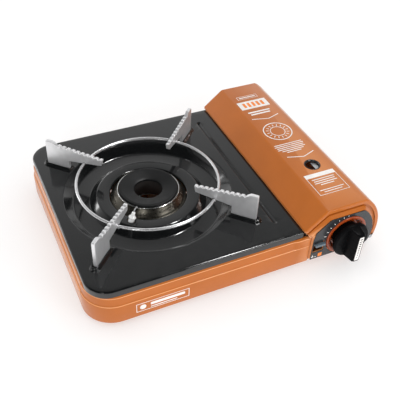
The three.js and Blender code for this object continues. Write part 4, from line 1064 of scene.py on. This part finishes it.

# %% [markdown]
# The walls are bent from sheet with a pressed band, a shoulder that turns in under the pan, and a foot
# flange that turns in under the tray. The bend round each left corner is a true arc. We carry the wall's
# section along a path of stations, and each station knows which way is inwards there; the band runs out
# before the control end, so the section may change on the way. The walls' own coat gets painted highlight
# lines at the heights of the band's two crests.

# %% Section and path of the walls
SHEET = 1
BAND_LOW, BAND_HIGH = 24, 36.5
BAND_DEPTH = 1.4
SHOULDER_Z = 39.6
SHOULDER_INSET = 5.2
FLANGE = 9
WALL_CORNER = 34.4
WALL_TOP = DECK_Z - SHEET - GAP
SEAM_X = measured("fascia")[0].x - 0.7
BAND_END = SEAM_X - 15.6
CORNER_STEPS = 20


def wall_section(band):
    """Closed outline of a wall as (inset from the outer face, height)."""
    return rounded([
        (0, 0, 0.8),
        (0, BAND_LOW, 0.5),
        (band, BAND_LOW + band, 0.5),
        (band, BAND_HIGH, 0.9),
        (SHOULDER_INSET, SHOULDER_Z, 1.2),
        (SHOULDER_INSET, WALL_TOP, 0.3),
        (SHOULDER_INSET + SHEET, WALL_TOP, 0.3),
        (SHOULDER_INSET + SHEET, SHOULDER_Z - SHEET / 2, 1),
        (band + SHEET, BAND_HIGH - SHEET / 2, 0.5),
        (band + SHEET, BAND_LOW + band - SHEET / 2, 0.4),
        (SHEET, BAND_LOW - SHEET / 2, 0.4),
        (SHEET, SHEET, 0.3),
        (FLANGE, SHEET, 0.3),
        (FLANGE, 0, 0.3),
    ], steps=4)


def station(x, y, inward, band=BAND_DEPTH):
    """The wall's section stood up at x, y, with its insets along the inward direction in degrees."""
    angle = math.radians(inward)
    return [(x + i * math.cos(angle), y + i * math.sin(angle), z) for i, z in wall_section(band)]


def corner_stations(side):
    """Stations from the left wall round a corner; side is -1 in front and 1 behind."""
    made = []
    for k in range(CORNER_STEPS + 1):
        angle = math.pi / 2 * k / CORNER_STEPS
        x = WALL_CORNER * (1 - math.cos(angle))
        y = side * (WALL_Y - WALL_CORNER + WALL_CORNER * math.sin(angle))
        made.append(station(x, y, -side * math.degrees(angle)))
    return made


def swept(stations):
    """A closed section carried along its stations."""
    points = [point for section in stations for point in section]
    return points, closed_rings(len(stations), len(stations[0]), False)


print("band from", BAND_LOW, "to", BAND_HIGH, "mm, running out at", round(BAND_END, 1))

# %% Front and back walls
SIDE_SEAM = 0.9
CREST_HIGHLIGHT_HALF = 0.5
BAND_RUN = 8
BAND_STEPS = 4
NO_BAND = 0.02
VENTS = 9
VENT_PITCH = 16
VENT = (10, 3, 8)
NOTCH_X = pan_high.x - SHEET - 2 * GAP
NOTCH_Z = BAND_HIGH + 1.5


def front_wall():
    """The band is shallow near the control end and reaches its full depth over a few stations."""
    stations = [station(SEAM_X - GAP, -WALL_Y, 90, NO_BAND)]
    for k in range(BAND_STEPS + 1):
        depth = max(NO_BAND, BAND_DEPTH * smooth_step(k / BAND_STEPS))
        stations.append(station(BAND_END - BAND_RUN * k / BAND_STEPS, -WALL_Y, 90, depth))
    return swept(stations + corner_stations(-1)[::-1])


def back_wall():
    """It starts a narrow seam behind the front wall's end, and goes on round the corner to the back."""
    start_y = WALL_CORNER - WALL_Y + SIDE_SEAM
    return swept([station(0, start_y, 0)] + corner_stations(1) + [station(SEAM_X - GAP, WALL_Y, -90)])


def notch_box(y):
    """What is cut from a wall beside the pan, where the wall steps down."""
    return box(NOTCH_X, SEAM_X + 1, y - FLANGE - 1, y + FLANGE + 1, NOTCH_Z, DECK_Z)


def vent_boxes():
    """Slots with round ends, low in the back wall."""
    width, height, low = VENT
    nearly_half = height / 2.02
    shapes = []
    for i in range(VENTS):
        x = BURNER_X + (i - (VENTS - 1) / 2) * VENT_PITCH
        outline = rounded([
            (x, low, nearly_half),
            (x + width, low, nearly_half),
            (x + width, low + height, nearly_half),
            (x, low + height, nearly_half),
        ])
        shapes.append(plate(outline, WALL_Y - 4, WALL_Y + 1, standing))
    return joined(*shapes)


wall_enamel = make_orange_enamel("wall_enamel")
# Painted highlight: pale lines in the walls' coat at the heights of the band's crests.
add_painted_crest_highlights(wall_enamel, (BAND_LOW + CREST_HIGHLIGHT_HALF, BAND_HIGH), CREST_HIGHLIGHT_HALF)
front = add_shape("front_wall", front_wall(), wall_enamel, "body", ["front_panel"])
carve(front, notch_box(-WALL_Y))
back = add_shape("left_and_back_wall", back_wall(), wall_enamel, "body", ["back_panel"])
carve(back, notch_box(WALL_Y), vent_boxes())
print("walls with", VENTS, "vents")

# %% [markdown]
# Four push-in rubber feet carry the stove. Their soles have rings, so that they grip.

# %% Rubber feet
SOLE_RINGS = 3
FOOT_RADIUS = 9
FOOT_NECK = 4
FOOT_SEAT = 0.99


def foot_outline(low, high):
    """Outline of a foot from its ringed sole up to the bulb that holds it in its hole."""
    sole = [(0, low + 0.5)]
    pitch = (FOOT_RADIUS - 2) / SOLE_RINGS
    for i in range(SOLE_RINGS):
        r = 1 + i * pitch
        sole += [(r, low + 0.5), (r + 0.4, low), (r + pitch * 0.6, low), (r + pitch * 0.6 + 0.4, low + 0.5)]
    return sole + rounded([
        (FOOT_RADIUS - 0.6, low + 0.4),
        (FOOT_RADIUS, low + 2, 1),
        (FOOT_RADIUS - 0.5, FOOT_SEAT, 0.6),
        (FOOT_NECK, FOOT_SEAT),
        (FOOT_NECK, high - 2.7),
        (FOOT_NECK + 1.6, high - 2.7, 0.4),
        (FOOT_NECK - 1, high, 0.6),
        (0, high),
    ], closed=False)


for where in ("front_left", "front_right", "back_left", "back_right"):
    low, high = measured(f"foot_{where}")
    shape = turned(foot_outline(low.z, high.z), (low.x + high.x) / 2, (low.y + high.y) / 2, 48)
    add_shape(f"rubber_foot_{where}", shape, rubber, "body", [f"foot_{where}"])
print("4 feet with", SOLE_RINGS, "rings each")

# %% [markdown]
# The lid is folded from one sheet: a slope, a flat top and a round flank, with a lip turned in at each end.
# A plain extrusion would leave knife edges at the ends, where the real sheet is drawn round. So the skin is
# a loop of sections: out along the top, round the edge, down the lip, and back along the inside.

# %% Lid measures
lid_low, lid_high = measured("canister_lid")
LID_LEFT = lid_low.x
LID_TOP = lid_high.z
LID_END = lid_high.y
LID_BOTTOM = lid_low.z
LID_EDGE_Z = 50.2
LID_HEM_Z = DECK_Z + 0.8
LIP = 5
END_RADIUS = 1.8
END_STEPS = 6
FLANK_RADIUS = 59.4
FLANK_Z = 22.5
FLANK_X = lid_high.x - FLANK_RADIUS
SHOULDER_X = KNOB_X - 29.4
HINGE_X = KNOB_X + 42
HINGE_Z = 8
FLANK_STEPS = 28
SLOPE = math.atan2(LID_TOP - LID_EDGE_Z, SHOULDER_X - LID_LEFT)


def lid_section(inset):
    """Open outline (x, z) of the lid's sheet, moved inwards by inset."""
    left = LID_LEFT + inset
    lift = math.tan(SLOPE)
    top = LID_TOP - inset
    slope_z = LID_EDGE_Z + lift * inset - inset / math.cos(SLOPE)
    shoulder_x = left + (top - slope_z) / lift
    radius = FLANK_RADIUS - inset
    first = math.asin((top - FLANK_Z) / radius)
    last = math.asin((LID_BOTTOM + inset + 2 - FLANK_Z) / radius)
    flank = []
    for k in range(FLANK_STEPS + 1):
        angle = first + (last - first) * k / FLANK_STEPS
        flank.append((FLANK_X + radius * math.cos(angle), FLANK_Z + radius * math.sin(angle)))
    hem = flank[-1][0]
    return rounded(
        [(left, LID_HEM_Z), (left, slope_z, max(1.2 - inset, 0.3)), (shoulder_x, top, max(5 - inset, 1.5))]
        + [(flank[0][0] - 1, top)] + flank[1:]
        + [(hem - 2, LID_BOTTOM + inset), (HINGE_X - 2.5, LID_BOTTOM + inset)],
        closed=False,
    )


print("lid slope", round(math.degrees(SLOPE), 1), "degrees")

# %% Lid skin
EAR_HALF, EAR_ROUND = 3.4, 3.39
PIN_HOLE = 1.8
RELIEF_HALF, RELIEF_DEEP = 12, 14
PEEP_X = KNOB_X - 1.4
PEEP_Y = -56.6
PEEP_RADIUS = 9.3
PEEP_SIDES = 64


def lid_stations():
    """(inset, y) of each section, once round through the sheet."""
    end = [(0, LID_END - END_RADIUS)]
    for k in range(1, END_STEPS + 1):
        angle = math.pi / 2 * k / END_STEPS
        end.append((END_RADIUS * (1 - math.cos(angle)), LID_END - END_RADIUS + END_RADIUS * math.sin(angle)))
    end += [(LIP - 0.3, LID_END), (LIP, LID_END - 0.3), (LIP, LID_END - SHEET), (SHEET + 1, LID_END - SHEET)]
    end += [(SHEET, LID_END - SHEET - 1)]
    return end + [(inset, -y) for inset, y in reversed(end)]


def lid_skin():
    """Points and faces of the lid's sheet with both faces and its lips."""
    stations = lid_stations()
    sections = [lid_section(inset) for inset, _ in stations]
    size = len(sections[0])
    points = []
    for (_, y), section in zip(stations, sections):
        points += [(x, y, z) for x, z in section]
    faces = []
    count = len(stations)
    for i in range(count):
        ahead = (i + 1) % count * size
        faces += [[i * size + j, i * size + j + 1, ahead + j + 1, ahead + j] for j in range(size - 1)]
    faces.append([i * size for i in range(count)])
    faces.append([i * size + size - 1 for i in range(count)])
    return points, faces


def hinge_ear(side):
    """A flat eye at the lid's end, round the hinge pin."""
    outline = rounded([
        (HINGE_X - EAR_HALF, HINGE_Z - EAR_HALF, EAR_ROUND),
        (HINGE_X + EAR_HALF, HINGE_Z - EAR_HALF, EAR_ROUND),
        (HINGE_X + EAR_HALF + 2, HINGE_Z + EAR_HALF),
        (HINGE_X - EAR_HALF, HINGE_Z + EAR_HALF, EAR_ROUND),
    ])
    inner, outer = sorted((side * (LID_END - 1.5), side * LID_END))
    return plate(outline, inner, outer, standing)


def relief(side):
    """Clears the lip and skin round the hinge, where the body's lug stands."""
    y0, y1 = sorted((side * (LID_END - RELIEF_DEEP), side * (LID_END + 2)))
    return box(HINGE_X - RELIEF_HALF, HINGE_X + RELIEF_HALF, y0, y1, -2, LID_BOTTOM + LIP + GAP)


lid = add_shape("folded_lid", lid_skin(), orange_enamel, "lid", ["canister_lid"])
peep_hole = plate(circle(PEEP_RADIUS, PEEP_X, PEEP_Y, PEEP_SIDES), LID_TOP - 6, LID_TOP + 3, lying)
carve(lid, joined(relief(-1), relief(1)), peep_hole)
both_ears = joined(hinge_ear(-1), hinge_ear(1))
ears = add_shape("lid_hinge_ears", both_ears, orange_enamel, "lid")
carve(ears, plate(circle(PIN_HOLE, HINGE_X, HINGE_Z), -LID_END - 5, LID_END + 5, standing))
soften(ears, 0.3)
print("lid skin:", len(lid.data.polygons), "faces")

# %% [markdown]
# The round window in the lid has a black bushing pressed into it, which guards the cut edge. It is turned,
# with a small flange on top and a short funnel below.

# %% Window bushing
bushing_outline = rounded([
    (PEEP_RADIUS - 0.1, LID_TOP + 0.1, 0.2),
    (PEEP_RADIUS - 0.1, LID_TOP - 1.6, 0.4),
    (PEEP_RADIUS - 0.9, LID_TOP - 2.2, 0.3),
    (PEEP_RADIUS - 1.3, LID_TOP - 1.9, 0.2),
    (PEEP_RADIUS - 0.9, LID_TOP - 0.5, 0.6),
    (PEEP_RADIUS - 0.3, LID_TOP + 0.5, 0.3),
    (PEEP_RADIUS + 0.6, LID_TOP + 0.4, 0.3),
    (PEEP_RADIUS + 0.7, LID_TOP + 0.1, 0.1),
])
bushing_shape = turned(bushing_outline, PEEP_X, PEEP_Y, PEEP_SIDES)
add_shape("window_bushing", bushing_shape, cover_plastic, "lid")
print("window", round(2 * PEEP_RADIUS, 1), "mm across")

# %% [markdown]
# Beside the window a bent leaf of zinc-plated steel is fixed inside the lid. It steadies the canister, and
# its bright end can be seen through the window.

# %% Leaf in the lid
LEAF_THICKNESS = 0.8
LEAF_HALF = 8


def leaf_shape():
    under = LID_TOP - SHEET - 0.1
    outline = rounded([
        (PEEP_X + 21, under),
        (PEEP_X + 13.5, under, 1.5),
        (PEEP_X + 10.5, under - 1.6, 1.5),
        (PEEP_X + 2.5, under - 2.6),
        (PEEP_X + 2.4, under - 2.6 - LEAF_THICKNESS),
        (PEEP_X + 10.9, under - 1.6 - LEAF_THICKNESS, 1.5),
        (PEEP_X + 13.9, under - LEAF_THICKNESS, 1.5),
        (PEEP_X + 21, under - LEAF_THICKNESS),
    ])
    return plate(outline, PEEP_Y - LEAF_HALF, PEEP_Y + LEAF_HALF, standing)


add_shape("lid_leaf", leaf_shape(), spangled_zinc, "lid")
print("leaf under the window")

# %% [markdown]
# The control end has a raised collar round the knob, with a dish behind it; its foot is cut level, as it is
# on its node. The knob itself is a disc with a tapered grip across it, and a pale strip on the grip's front
# says which way it points. Disc and grip are moulded in one, so we join them with a boolean; a bevel isn't
# needed, because their outlines have radii of their own.

# %% Collar
collar_low, collar_high = measured("knob_collar")
COLLAR_OUTER = (collar_high.x - collar_low.x) / 2
COLLAR_INNER = 21.6
COLLAR_FRONT = -WALL_Y - collar_low.y
HUB_RADIUS = 18.6
SPINDLE_RADIUS = 4
COLLAR_BASE = COLLAR_FRONT - 2.2
COLLAR_SIDES = 128


def collar_outline():
    base, front = COLLAR_BASE, COLLAR_FRONT
    return rounded([
        (COLLAR_OUTER, base),
        (COLLAR_OUTER - 0.3, front - 0.5, 0.6),
        ((COLLAR_OUTER + COLLAR_INNER) / 2, front, 2.5),
        (COLLAR_INNER + 0.5, front - 0.7, 1),
        (COLLAR_INNER - 0.7, base - 0.8, 0.8),
        (HUB_RADIUS + 0.4, base - 4.2, 1.2),
        (SPINDLE_RADIUS + 3, base - 4.2),
        (SPINDLE_RADIUS + 3, base - 5.2),
        (HUB_RADIUS + 1, base - 5.2),
        (COLLAR_INNER + 0.2, base - 0.8, 0.5),
        (COLLAR_INNER + 0.6, base),
    ], steps=5)


collar_shape = turned_forward(collar_outline(), KNOB_X, KNOB_Z, COLLAR_SIDES)
collar = add_shape("raised_knob_collar", collar_shape, collar_plastic, "body",
                   ["knob_collar"])
carve(collar, box(KNOB_X - 40, KNOB_X + 40, -WALL_Y - 20, -WALL_Y + 20, -20, collar_low.z))
print("collar", round(2 * COLLAR_OUTER, 1), "mm across")

# %% Knob
KNOB_RADIUS = 23
DISC_BACK = 12
BORE = 0.05
GRIP_FRONT = -WALL_Y - measured("knob")[0].y
GRIP_HEIGHT = 42
GRIP_TIP, GRIP_ROOT = 8, 15


def knob_disc():
    return rounded([
        (SPINDLE_RADIUS + GAP, 0.8),
        (HUB_RADIUS - 1.6, 0.8, 0.5),
        (HUB_RADIUS, DISC_BACK - 3.6, 2),
        (KNOB_RADIUS - 0.8, DISC_BACK - 1.6, 0.8),
        (KNOB_RADIUS, DISC_BACK, 0.5),
        (KNOB_RADIUS, DISC_BACK + 2.6, 0.8),
        (KNOB_RADIUS - 1.4, DISC_BACK + 4.2, 0.8),
        (BORE, DISC_BACK + 4.2),
        (BORE, DISC_BACK),
        (SPINDLE_RADIUS + GAP, DISC_BACK),
    ], steps=4)


def grip_wedge():
    """The grip: a bar across the disc that narrows to its front."""
    rings = []
    for height, half_width, half_tall in (
        (DISC_BACK + 2, GRIP_ROOT / 2, GRIP_HEIGHT / 2),
        (GRIP_FRONT - 2, GRIP_TIP / 2 + 0.7, GRIP_HEIGHT / 2),
        (GRIP_FRONT, GRIP_TIP / 2 - 0.3, GRIP_HEIGHT / 2 - 1.4),
    ):
        corners = rounded([
            (KNOB_X - half_width, KNOB_Z - half_tall, 1.6),
            (KNOB_X + half_width, KNOB_Z - half_tall, 1.6),
            (KNOB_X + half_width, KNOB_Z + half_tall, 1.6),
            (KNOB_X - half_width, KNOB_Z + half_tall, 1.6),
        ])
        rings.append([(x, -WALL_Y - height, z) for x, z in corners])
    return [point for ring in rings for point in ring], closed_rings(3, len(rings[0]), False)


def fuse(thing, shape):
    """Join a closed shape to a piece for good."""
    other = bpy.data.objects.new("other", shape_mesh("other", *shape))
    scene.collection.objects.link(other)
    fusing = thing.modifiers.new("fuse", "BOOLEAN")
    fusing.operation = "UNION"
    fusing.solver = "EXACT"
    fusing.object = other
    bpy.context.view_layer.update()
    before = thing.data
    thing.data = bpy.data.meshes.new_from_object(thing.evaluated_get(bpy.context.evaluated_depsgraph_get()))
    thing.modifiers.clear()
    bpy.data.meshes.remove(before)
    bpy.data.objects.remove(other)
    thing.data.shade_smooth()
    thing.data.set_sharp_from_angle(angle=SHARP_ANGLE)


knob_shape = turned_forward(knob_disc(), KNOB_X, KNOB_Z)
knob = add_shape("moulded_knob", knob_shape, knob_plastic, "knob", ["knob"])
fuse(knob, grip_wedge())
print("knob reaches", round(GRIP_FRONT, 1), "mm ahead of the wall")

# %% [markdown]
# Printing stands about a tenth of a millimetre proud of its surface. Every mark here is a plain shape
# of our own: bars, rings, frames and ticks, with no words in it. They are cut as thin plates and laid on
# their surface, which keeps them sharp at any distance.

# %% Tools for printing
INK = 0.12
INK_FOOT = 0.02


def bar_mark(u0, u1, v0, v1, radius=0.0):
    """A bar as an outline, with round corners if a radius is given."""
    return rounded([(u0, v0, radius), (u1, v0, radius), (u1, v1, radius), (u0, v1, radius)])


def printed(name, outlines, place, finish, body):
    """Thin plates of ink laid on a surface."""
    shapes = [plate(outline, INK_FOOT, INK, place) for outline in outlines]
    return add_shape(name, joined(*shapes), finish, body)


def print_rows(half_lengths, middle, top, pitch, height):
    """Bars that stand for rows of small print."""
    rows = []
    for row, half_length in enumerate(half_lengths):
        low = top - pitch * row
        rows.append(bar_mark(middle - half_length, middle + half_length, low, low + height))
    return rows


def stroke(u0, v0, u1, v1, width):
    """A straight stroke as an outline."""
    along = (Vector((u1, v1)) - Vector((u0, v0))).normalized()
    side = Vector((-along.y, along.x)) * width / 2
    ends = [Vector((u0, v0)), Vector((u1, v1))]
    return [ends[0] - side, ends[1] - side, ends[1] + side, ends[0] + side]


def ring_strokes(u, v, radius, width, pieces=48):
    """A round line made of short strokes that meet."""
    inner, outer = radius - width / 2, radius + width / 2
    marks = []
    for i in range(pieces):
        here = math.radians(360 * i / pieces)
        ahead = math.radians(360 * (i + 1) / pieces)
        corners = []
        for angle, r in ((here, inner), (ahead, inner), (ahead, outer), (here, outer)):
            corners.append(Vector((u + r * math.cos(angle), v + r * math.sin(angle))))
        marks.append(corners)
    return marks


def frame_strokes(u0, u1, v0, v1, width):
    """A box drawn with four strokes."""
    return [
        bar_mark(u0, u1, v0, v0 + width),
        bar_mark(u0, u1, v1 - width, v1),
        bar_mark(u0, u0 + width, v0 + width, v1 - width),
        bar_mark(u1 - width, u1, v0 + width, v1 - width),
    ]


print("printing", INK, "mm proud")

# %% Marks on the lid
LID_MID = 301.5
DIAL_U, DIAL_V = -3.6, 19
DIAL_RING, DIAL_HUB = 18.2, 9.5
DIAL_RAYS = 16
RAY_START, RAY_END = 11.4, 15


def on_lid(u, v, w):
    return LID_MID + u, v, LID_TOP + w


def lid_marks():
    """Label, frame, rows, dial and strokes on the lid's middle and back."""
    marks = [bar_mark(-24, 18, 77, 95, 0.8)]
    marks += frame_strokes(-18, 12, 101, 108, 0.5)
    marks.append(bar_mark(-15, 9, 103.6, 105.4))
    marks += print_rows((16, 14), middle=-4, top=67, pitch=5, height=2.6)
    marks += [stroke(-22, 54, 0, 48.5, 1.1), stroke(0, 48.5, 17, 54, 1.1)]
    marks += ring_strokes(DIAL_U, DIAL_V, DIAL_RING, 1.3)
    marks += ring_strokes(DIAL_U, DIAL_V, DIAL_HUB, 0.8, pieces=36)
    dial = Vector((DIAL_U, DIAL_V))
    for i in range(DIAL_RAYS):
        angle = math.radians(360 / DIAL_RAYS * i)
        out = Vector((math.cos(angle), math.sin(angle)))
        marks.append(stroke(*(dial + out * RAY_START), *(dial + out * RAY_END), 0.9))
    marks += print_rows((19, 20, 18.5, 19, 15, 10), middle=-5, top=-9, pitch=3.3, height=1.2)
    marks += [stroke(-20, -33, 0, -39, 1.1), stroke(0, -39, 17, -33, 1.1)]
    return marks


def lid_panel_marks():
    """The framed panel near the lid's front."""
    marks = frame_strokes(-21, 19, -109, -78, 0.6)
    marks.append(bar_mark(-21, 19, -78, -72))
    marks += print_rows((15, 14, 15, 9), middle=-1, top=-83, pitch=3.4, height=1.2)
    marks += print_rows((16, 12), middle=-1, top=-102, pitch=3.4, height=1)
    return marks


printed("lid_printing", lid_marks() + lid_panel_marks(), on_lid, white_ink, "lid")


def on_lid_print(u, v, w):
    return LID_MID + u, v, LID_TOP + INK + w


BADGE_BARS = 5
badge = [bar_mark(-18 + 6.6 * i, -14.2 + 6.6 * i, 81, 91, 0.6) for i in range(BADGE_BARS)]
printed("lid_badge_bars", badge, on_lid_print, orange_ink, "lid")
print("lid printed")

# %% Marks on the front wall and the control end
WALL_MARK_X = 79
SCALE_TICKS = 7
SCALE_START, SCALE_STEP = 95, 12
STRIP_HALF = 18
STRIP_TICKS = 9


def on_front(u, v, w):
    return u, -WALL_Y - w, v


front_marks = frame_strokes(WALL_MARK_X - 30, WALL_MARK_X + 30, 7, 19.5, 0.7)
front_marks += [bar_mark(WALL_MARK_X - 26, WALL_MARK_X - 19, 9.7, 16.7, 3.4)]
front_marks += [bar_mark(WALL_MARK_X - 14, WALL_MARK_X + 25, 12.8, 16.6, 0.8)]
front_marks += [bar_mark(WALL_MARK_X - 14, WALL_MARK_X + 16, 9.4, 10.6, 0.4)]
printed("front_wall_printing", front_marks, on_front, white_ink, "body")

COVER_FRONT = measured("fascia")[0].y


def on_cover(u, v, w):
    return u, COVER_FRONT - w, v


def scale_marks():
    """Ticks round the knob that grow towards full heat."""
    marks = []
    for i in range(SCALE_TICKS):
        angle = math.radians(SCALE_START + SCALE_STEP * i)
        out = Vector((math.cos(angle), math.sin(angle)))
        inner = Vector((KNOB_X, KNOB_Z)) + out * (COLLAR_OUTER + 2.2)
        outer = inner + out * (1.2 + 0.3 * i)
        marks.append(stroke(inner.x, inner.y, outer.x, outer.y, 0.8))
    return marks


LEVER_X = (measured("lever_tip")[0].x + measured("lever_tip")[1].x) / 2
arrow = [stroke(LEVER_X - 6, 11.5, LEVER_X - 6, 8, 0.8), stroke(LEVER_X - 7.6, 9.6, LEVER_X - 6, 7.4, 0.7)]
arrow += [stroke(LEVER_X - 4.4, 9.6, LEVER_X - 6, 7.4, 0.7), stroke(LEVER_X - 3, 8, LEVER_X - 0.6, 8, 0.7)]
printed("cover_ticks", scale_marks() + arrow, on_cover, white_ink, "body")
printed("cover_patch", [bar_mark(LEVER_X + 1.4, LEVER_X + 6.6, 7, 12.4, 0.3)], on_cover, orange_ink, "body")


def on_grip(u, v, w):
    return KNOB_X + u, -WALL_Y - GRIP_FRONT - w, KNOB_Z + v


def on_strip(u, v, w):
    return KNOB_X + u, -WALL_Y - GRIP_FRONT - INK - w, KNOB_Z + v


strip = bar_mark(-2.9, 2.9, -STRIP_HALF, STRIP_HALF, 1)
printed("grip_strip", [strip], on_grip, white_ink, "knob")
strip_ticks = []
for i in range(STRIP_TICKS):
    half_length = 0.4 + 0.16 * i
    strip_ticks.append(bar_mark(-half_length, half_length, -14 + 3.5 * i, -12.6 + 3.5 * i))
printed("grip_strip_ticks", strip_ticks, on_strip, black_ink, "knob")
print("front wall, cover and grip printed")

# %% [markdown]
# The stove stands on a light table, a white sheet that glows a little, so the shadows under it stay faint.
# A white room gives the soft light. A low, broad lamp at the front and right draws thin lines along the
# walls' crests, and two small lamps stand on the left. Black enamel is a mirror, so a white room would turn
# it grey: in reflections the room fades from its bright far side to black, as it does when black cloths
# hang beside the camera. The last lamp shows only in reflections: it draws the bright line on the pan's
# rim and lights nothing else.

# %% Floor and light
FLOOR_HALF = 3.0
TABLE_GLOW = 0.42
FADE_START, FADE_END = -0.45, 0.95


def make_floor():
    mesh = bpy.data.meshes.new("floor")
    corners = [(-1, -1), (1, -1), (1, 1), (-1, 1)]
    mesh.from_pydata([(x * FLOOR_HALF, y * FLOOR_HALF, 0) for x, y in corners], [], [(0, 1, 2, 3)])
    floor = bpy.data.objects.new("floor", mesh)
    scene.collection.objects.link(floor)
    sheet = new_finish("light_table", (0.60, 0.60, 0.60), (0.80, 0.90), drift=0.004, patch=300)
    shader_of(sheet).inputs["Emission Color"].default_value = (1, 1, 1, 1)
    shader_of(sheet).inputs["Emission Strength"].default_value = TABLE_GLOW
    mesh.materials.append(sheet)


def add_lamp(name, place, size, power, aim=(0, 0, 0.04), only_gleam=False):
    """A flat lamp aimed at a point; with only_gleam it shows in reflections but lights nothing."""
    light = bpy.data.lights.new(name, "AREA")
    light.shape = "RECTANGLE"
    light.size, light.size_y = size
    light.energy = power
    lamp = bpy.data.objects.new(name, light)
    lamp.location = place
    lamp.rotation_euler = (Vector(aim) - Vector(place)).to_track_quat("-Z", "Y").to_euler()
    lamp.visible_diffuse = not only_gleam
    scene.collection.objects.link(lamp)


def make_room(scatter, mirror, bright_side):
    """A room of strength scatter; in reflections it fades from mirror, on its bright side, to black."""
    world = bpy.data.worlds.new("room")
    world.use_nodes = True
    tree = world.node_tree
    rays = tree.nodes.new("ShaderNodeLightPath")
    place = tree.nodes.new("ShaderNodeTexCoord")
    facing = tree.nodes.new("ShaderNodeVectorMath")
    facing.operation = "DOT_PRODUCT"
    facing.inputs[1].default_value = Vector(bright_side).normalized()
    tree.links.new(place.outputs["Generated"], facing.inputs[0])
    fade = tree.nodes.new("ShaderNodeMapRange")
    fade.interpolation_type = "SMOOTHSTEP"
    fade.inputs["From Min"].default_value = FADE_START
    fade.inputs["From Max"].default_value = FADE_END
    fade.inputs["To Max"].default_value = mirror
    tree.links.new(facing.outputs["Value"], fade.inputs["Value"])
    pick = tree.nodes.new("ShaderNodeMix")
    pick.inputs["A"].default_value = scatter
    tree.links.new(rays.outputs["Is Glossy Ray"], pick.inputs["Factor"])
    tree.links.new(fade.outputs["Result"], pick.inputs["B"])
    background = tree.nodes["Background"]
    background.inputs["Color"].default_value = (1, 1, 1, 1)
    tree.links.new(pick.outputs["Result"], background.inputs["Strength"])
    scene.world = world


make_floor()
add_lamp("front_right", (0.50, -1.10, 0.45), (0.50, 0.20), 3.5)
add_lamp("front_left", (-0.85, -1.0, 0.6), (0.16, 0.10), 1.6)
add_lamp("back_left", (-1.0, 1.05, 0.35), (0.25, 0.25), 1.2)
add_lamp("gleam_above", (0.50, 0.10, 1.40), (0.60, 0.12), 11, only_gleam=True)
make_room(0.955, 1.25, (0, 0.8, -0.6))
